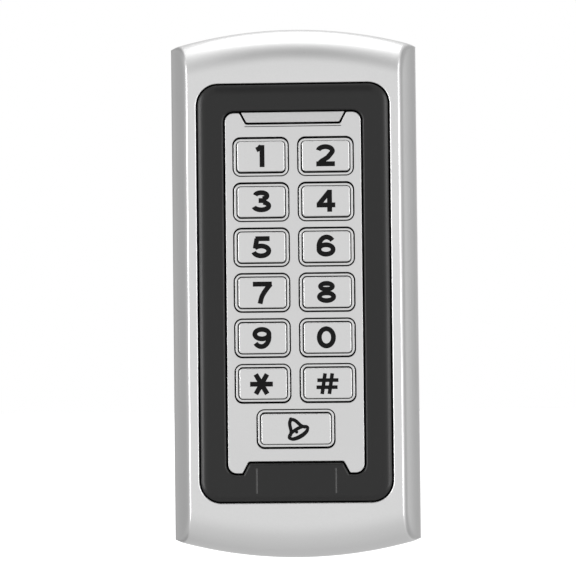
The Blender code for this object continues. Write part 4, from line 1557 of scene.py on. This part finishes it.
class READER_OT_stage(bpy.types.Operator):
    """Makes the pale floor, the studio's soft light and the camera"""

    bl_idname = "reader.stage"
    bl_label = "Stage"

    def execute(self, context):
        stage = context.scene.reader_stage
        context.scene.view_settings.view_transform = "Standard"
        self.make_floor(stage)
        self.make_world()
        self.make_lamps(stage)
        self.make_camera(stage)
        return {"FINISHED"}

    def make_floor(self, stage):
        shape = bmesh.new()
        bmesh.ops.create_grid(shape, x_segments=1, y_segments=1, size=stage.floor_size)
        low = cad_bounds[0][2] - stage.floor_drop
        bmesh.ops.translate(shape, vec=(0, 0, low), verts=shape.verts)
        mesh = bpy.data.meshes.new("floor")
        shape.to_mesh(mesh)
        shape.free()
        mesh.materials.append(speckled_material(
            "floor_white", (0.9, 0.9, 0.9), 0.8, flake_scale=40.0, flakes=0.02, clouds=0.02,
            Emission_Color=(1, 1, 1, 1), Emission_Strength=0.35,
        ))
        floor = bpy.data.objects.new("floor", mesh)
        floor.visible_glossy = False
        bpy.context.scene.collection.objects.link(floor)

    def make_world(self):
        """A room that the camera sees as plain white and the reader as uneven tones.

        The tones vary by height and, before and behind the reader, from left to right, and a
        dark card hangs in front of it and above.
        """
        world = bpy.data.worlds.new("studio")
        world.use_nodes = True
        bpy.context.scene.world = world
        tree = world.node_tree
        tree.nodes.clear()
        nodes = Nodes(tree)
        way = nodes.add("ShaderNodeTexCoord").outputs["Generated"]
        parts = nodes.add("ShaderNodeSeparateXYZ", {"Vector": way}).outputs
        height = self.half_share(nodes, parts["Z"])
        across = self.half_share(nodes, parts["X"])
        tone = ramp_of(nodes, height, [
            (0.0, 0.76), (0.13, 0.8), (0.3, 0.95), (0.5, 1.0), (0.62, 0.97), (0.8, 0.85),
            (0.9, 0.9), (0.96, 1.1), (1.0, 1.3),
        ])
        behind = ramp_of(nodes, across, [
            (0.0, 0.72), (0.07, 0.64), (0.12, 0.5), (0.18, 0.42), (0.35, 1.0), (0.65, 1.0),
            (0.8, 1.1), (0.86, 0.78), (0.91, 0.46), (0.96, 0.46), (1.0, 1.2),
        ])
        before = ramp_of(nodes, across, [
            (0.0, 1.0), (0.06, 1.15), (0.2, 1.15), (0.34, 1.1), (0.45, 1.09), (0.55, 1.09),
            (0.66, 1.1), (0.8, 1.15), (0.94, 1.3), (1.0, 1.5),
        ])
        depth = nodes.add("ShaderNodeMapRange", {
            "Value": parts["Y"], "From Min": -0.35, "From Max": 0.15,
        }, interpolation_type="SMOOTHSTEP").outputs[0]
        side = nodes.add(
            "ShaderNodeMix", {0: depth, 6: before, 7: behind}, data_type="RGBA"
        ).outputs[2]
        stretched = nodes.add("ShaderNodeVectorMath", {
            0: way, 1: (3.3, 1.0, 1.0),
        }, operation="MULTIPLY").outputs["Vector"]
        card = nodes.add("ShaderNodeVectorMath", {
            0: stretched, 1: (0.0, -0.765, 0.644),
        }, operation="DISTANCE").outputs["Value"]
        flag = nodes.add("ShaderNodeMapRange", {
            "Value": card, "From Min": 0.2, "From Max": 0.43, "To Min": 0.0, "To Max": 1.0,
        }, interpolation_type="SMOOTHSTEP").outputs[0]
        lit = nodes.add(
            "ShaderNodeMix", {0: 1.0, 6: tone, 7: side}, data_type="RGBA", blend_type="MULTIPLY"
        ).outputs[2]
        both = nodes.add(
            "ShaderNodeMix", {0: 1.0, 6: lit, 7: flag}, data_type="RGBA", blend_type="MULTIPLY"
        ).outputs[2]
        soft = nodes.add("ShaderNodeBackground", {"Color": both, "Strength": 1.0}).outputs[0]
        white = nodes.add("ShaderNodeBackground", {"Color": (1, 1, 1, 1)}).outputs[0]
        seen = nodes.add("ShaderNodeLightPath").outputs["Is Camera Ray"]
        mixed = nodes.add("ShaderNodeMixShader", {0: seen, 1: soft, 2: white}).outputs[0]
        nodes.add("ShaderNodeOutputWorld", {"Surface": mixed})

    def half_share(self, nodes, part):
        """Maps one part of a direction from -1..1 to 0..1."""
        return nodes.add("ShaderNodeMapRange", {"Value": part, "From Min": -1}).outputs[0]

    def make_lamps(self, stage):
        self.add_lamp("overhead_softbox", (0, 0.06, 0.9), (0, 0.06, 0), (0.45, 0.55), 1.6, stage)
        self.add_lamp("left_strip", (-0.68, -0.45, 0.05), (0, 0, 0), (0.2, 0.8), 3.8, stage)
        self.add_lamp("right_strip", (0.64, -0.5, 0.05), (0, 0, 0), (0.2, 0.8), 2.4, stage)

    def add_lamp(self, name, place, target, size, energy, stage):
        lamp = bpy.data.lights.new(name, "AREA")
        lamp.shape = "RECTANGLE"
        lamp.size, lamp.size_y = size
        lamp.energy = energy * stage.light_scale
        holder = bpy.data.objects.new(name, lamp)
        holder.location = place
        way = Vector(target) - Vector(place)
        holder.rotation_euler = way.to_track_quat("-Z", "Y").to_euler()
        bpy.context.scene.collection.objects.link(holder)

    def make_camera(self, stage):
        lens = bpy.data.cameras.new("camera")
        lens.lens = stage.lens
        lens.clip_start = 0.01
        camera = bpy.data.objects.new("camera", lens)
        low, high = (Vector(corner) for corner in cad_bounds)
        middle = (low + high) / 2
        level = math.cos(stage.camera_elevation)
        way = Vector((
            math.sin(stage.camera_azimuth) * level, -math.cos(stage.camera_azimuth) * level,
            math.sin(stage.camera_elevation),
        ))
        aim = middle + Vector((-stage.aim_left, 0, stage.aim_up))
        camera.location = aim + way * stage.camera_distance
        facing = (-way).to_track_quat("-Z", "Y").to_matrix()
        lean = Matrix.Rotation(stage.camera_roll, 3, "Z")
        camera.rotation_euler = (facing @ lean).to_euler()
        bpy.context.scene.collection.objects.link(camera)
        bpy.context.scene.camera = camera


# ---------------------------------------------------------------- add-on

class READER_PT_panel(bpy.types.Panel):
    """Lists the reader's pieces in the sidebar"""

    bl_idname = "READER_PT_panel"
    bl_label = "Keypad access reader"
    bl_space_type = "VIEW_3D"
    bl_region_type = "UI"
    bl_category = "Reader"

    def draw(self, context):
        for operator in OPERATORS:
            self.layout.operator(operator.bl_idname)
        for group in SETTINGS:
            settings = getattr(context.scene, group)
            box = self.layout.box()
            for name in settings.__annotations__:
                box.prop(settings, name)


SETTINGS = {
    "reader_case": ReaderCaseSettings,
    "reader_window": ReaderWindowSettings,
    "reader_keypad": ReaderKeypadSettings,
    "reader_legend": ReaderLegendSettings,
    "reader_finish": ReaderFinishSettings,
    "reader_stage": ReaderStageSettings,
}
OPERATORS = (
    READER_OT_stage, READER_OT_case, READER_OT_window_frame, READER_OT_keypad_plate,
    READER_OT_keys, READER_OT_legends, READER_OT_light_bar, READER_OT_inside,
    READER_OT_wall_side,
)


def register():
    for name, settings in SETTINGS.items():
        bpy.utils.register_class(settings)
        setattr(bpy.types.Scene, name, PointerProperty(type=settings))
    for operator in OPERATORS:
        bpy.utils.register_class(operator)
    bpy.utils.register_class(READER_PT_panel)


def unregister():
    bpy.utils.unregister_class(READER_PT_panel)
    for operator in reversed(OPERATORS):
        bpy.utils.unregister_class(operator)
    for name, settings in reversed(SETTINGS.items()):
        delattr(bpy.types.Scene, name)
        bpy.utils.unregister_class(settings)


def main():
    register()
    for operator in OPERATORS:
        getattr(bpy.ops.reader, operator.bl_idname.split(".")[1])()


if __name__ == "__main__":
    main()
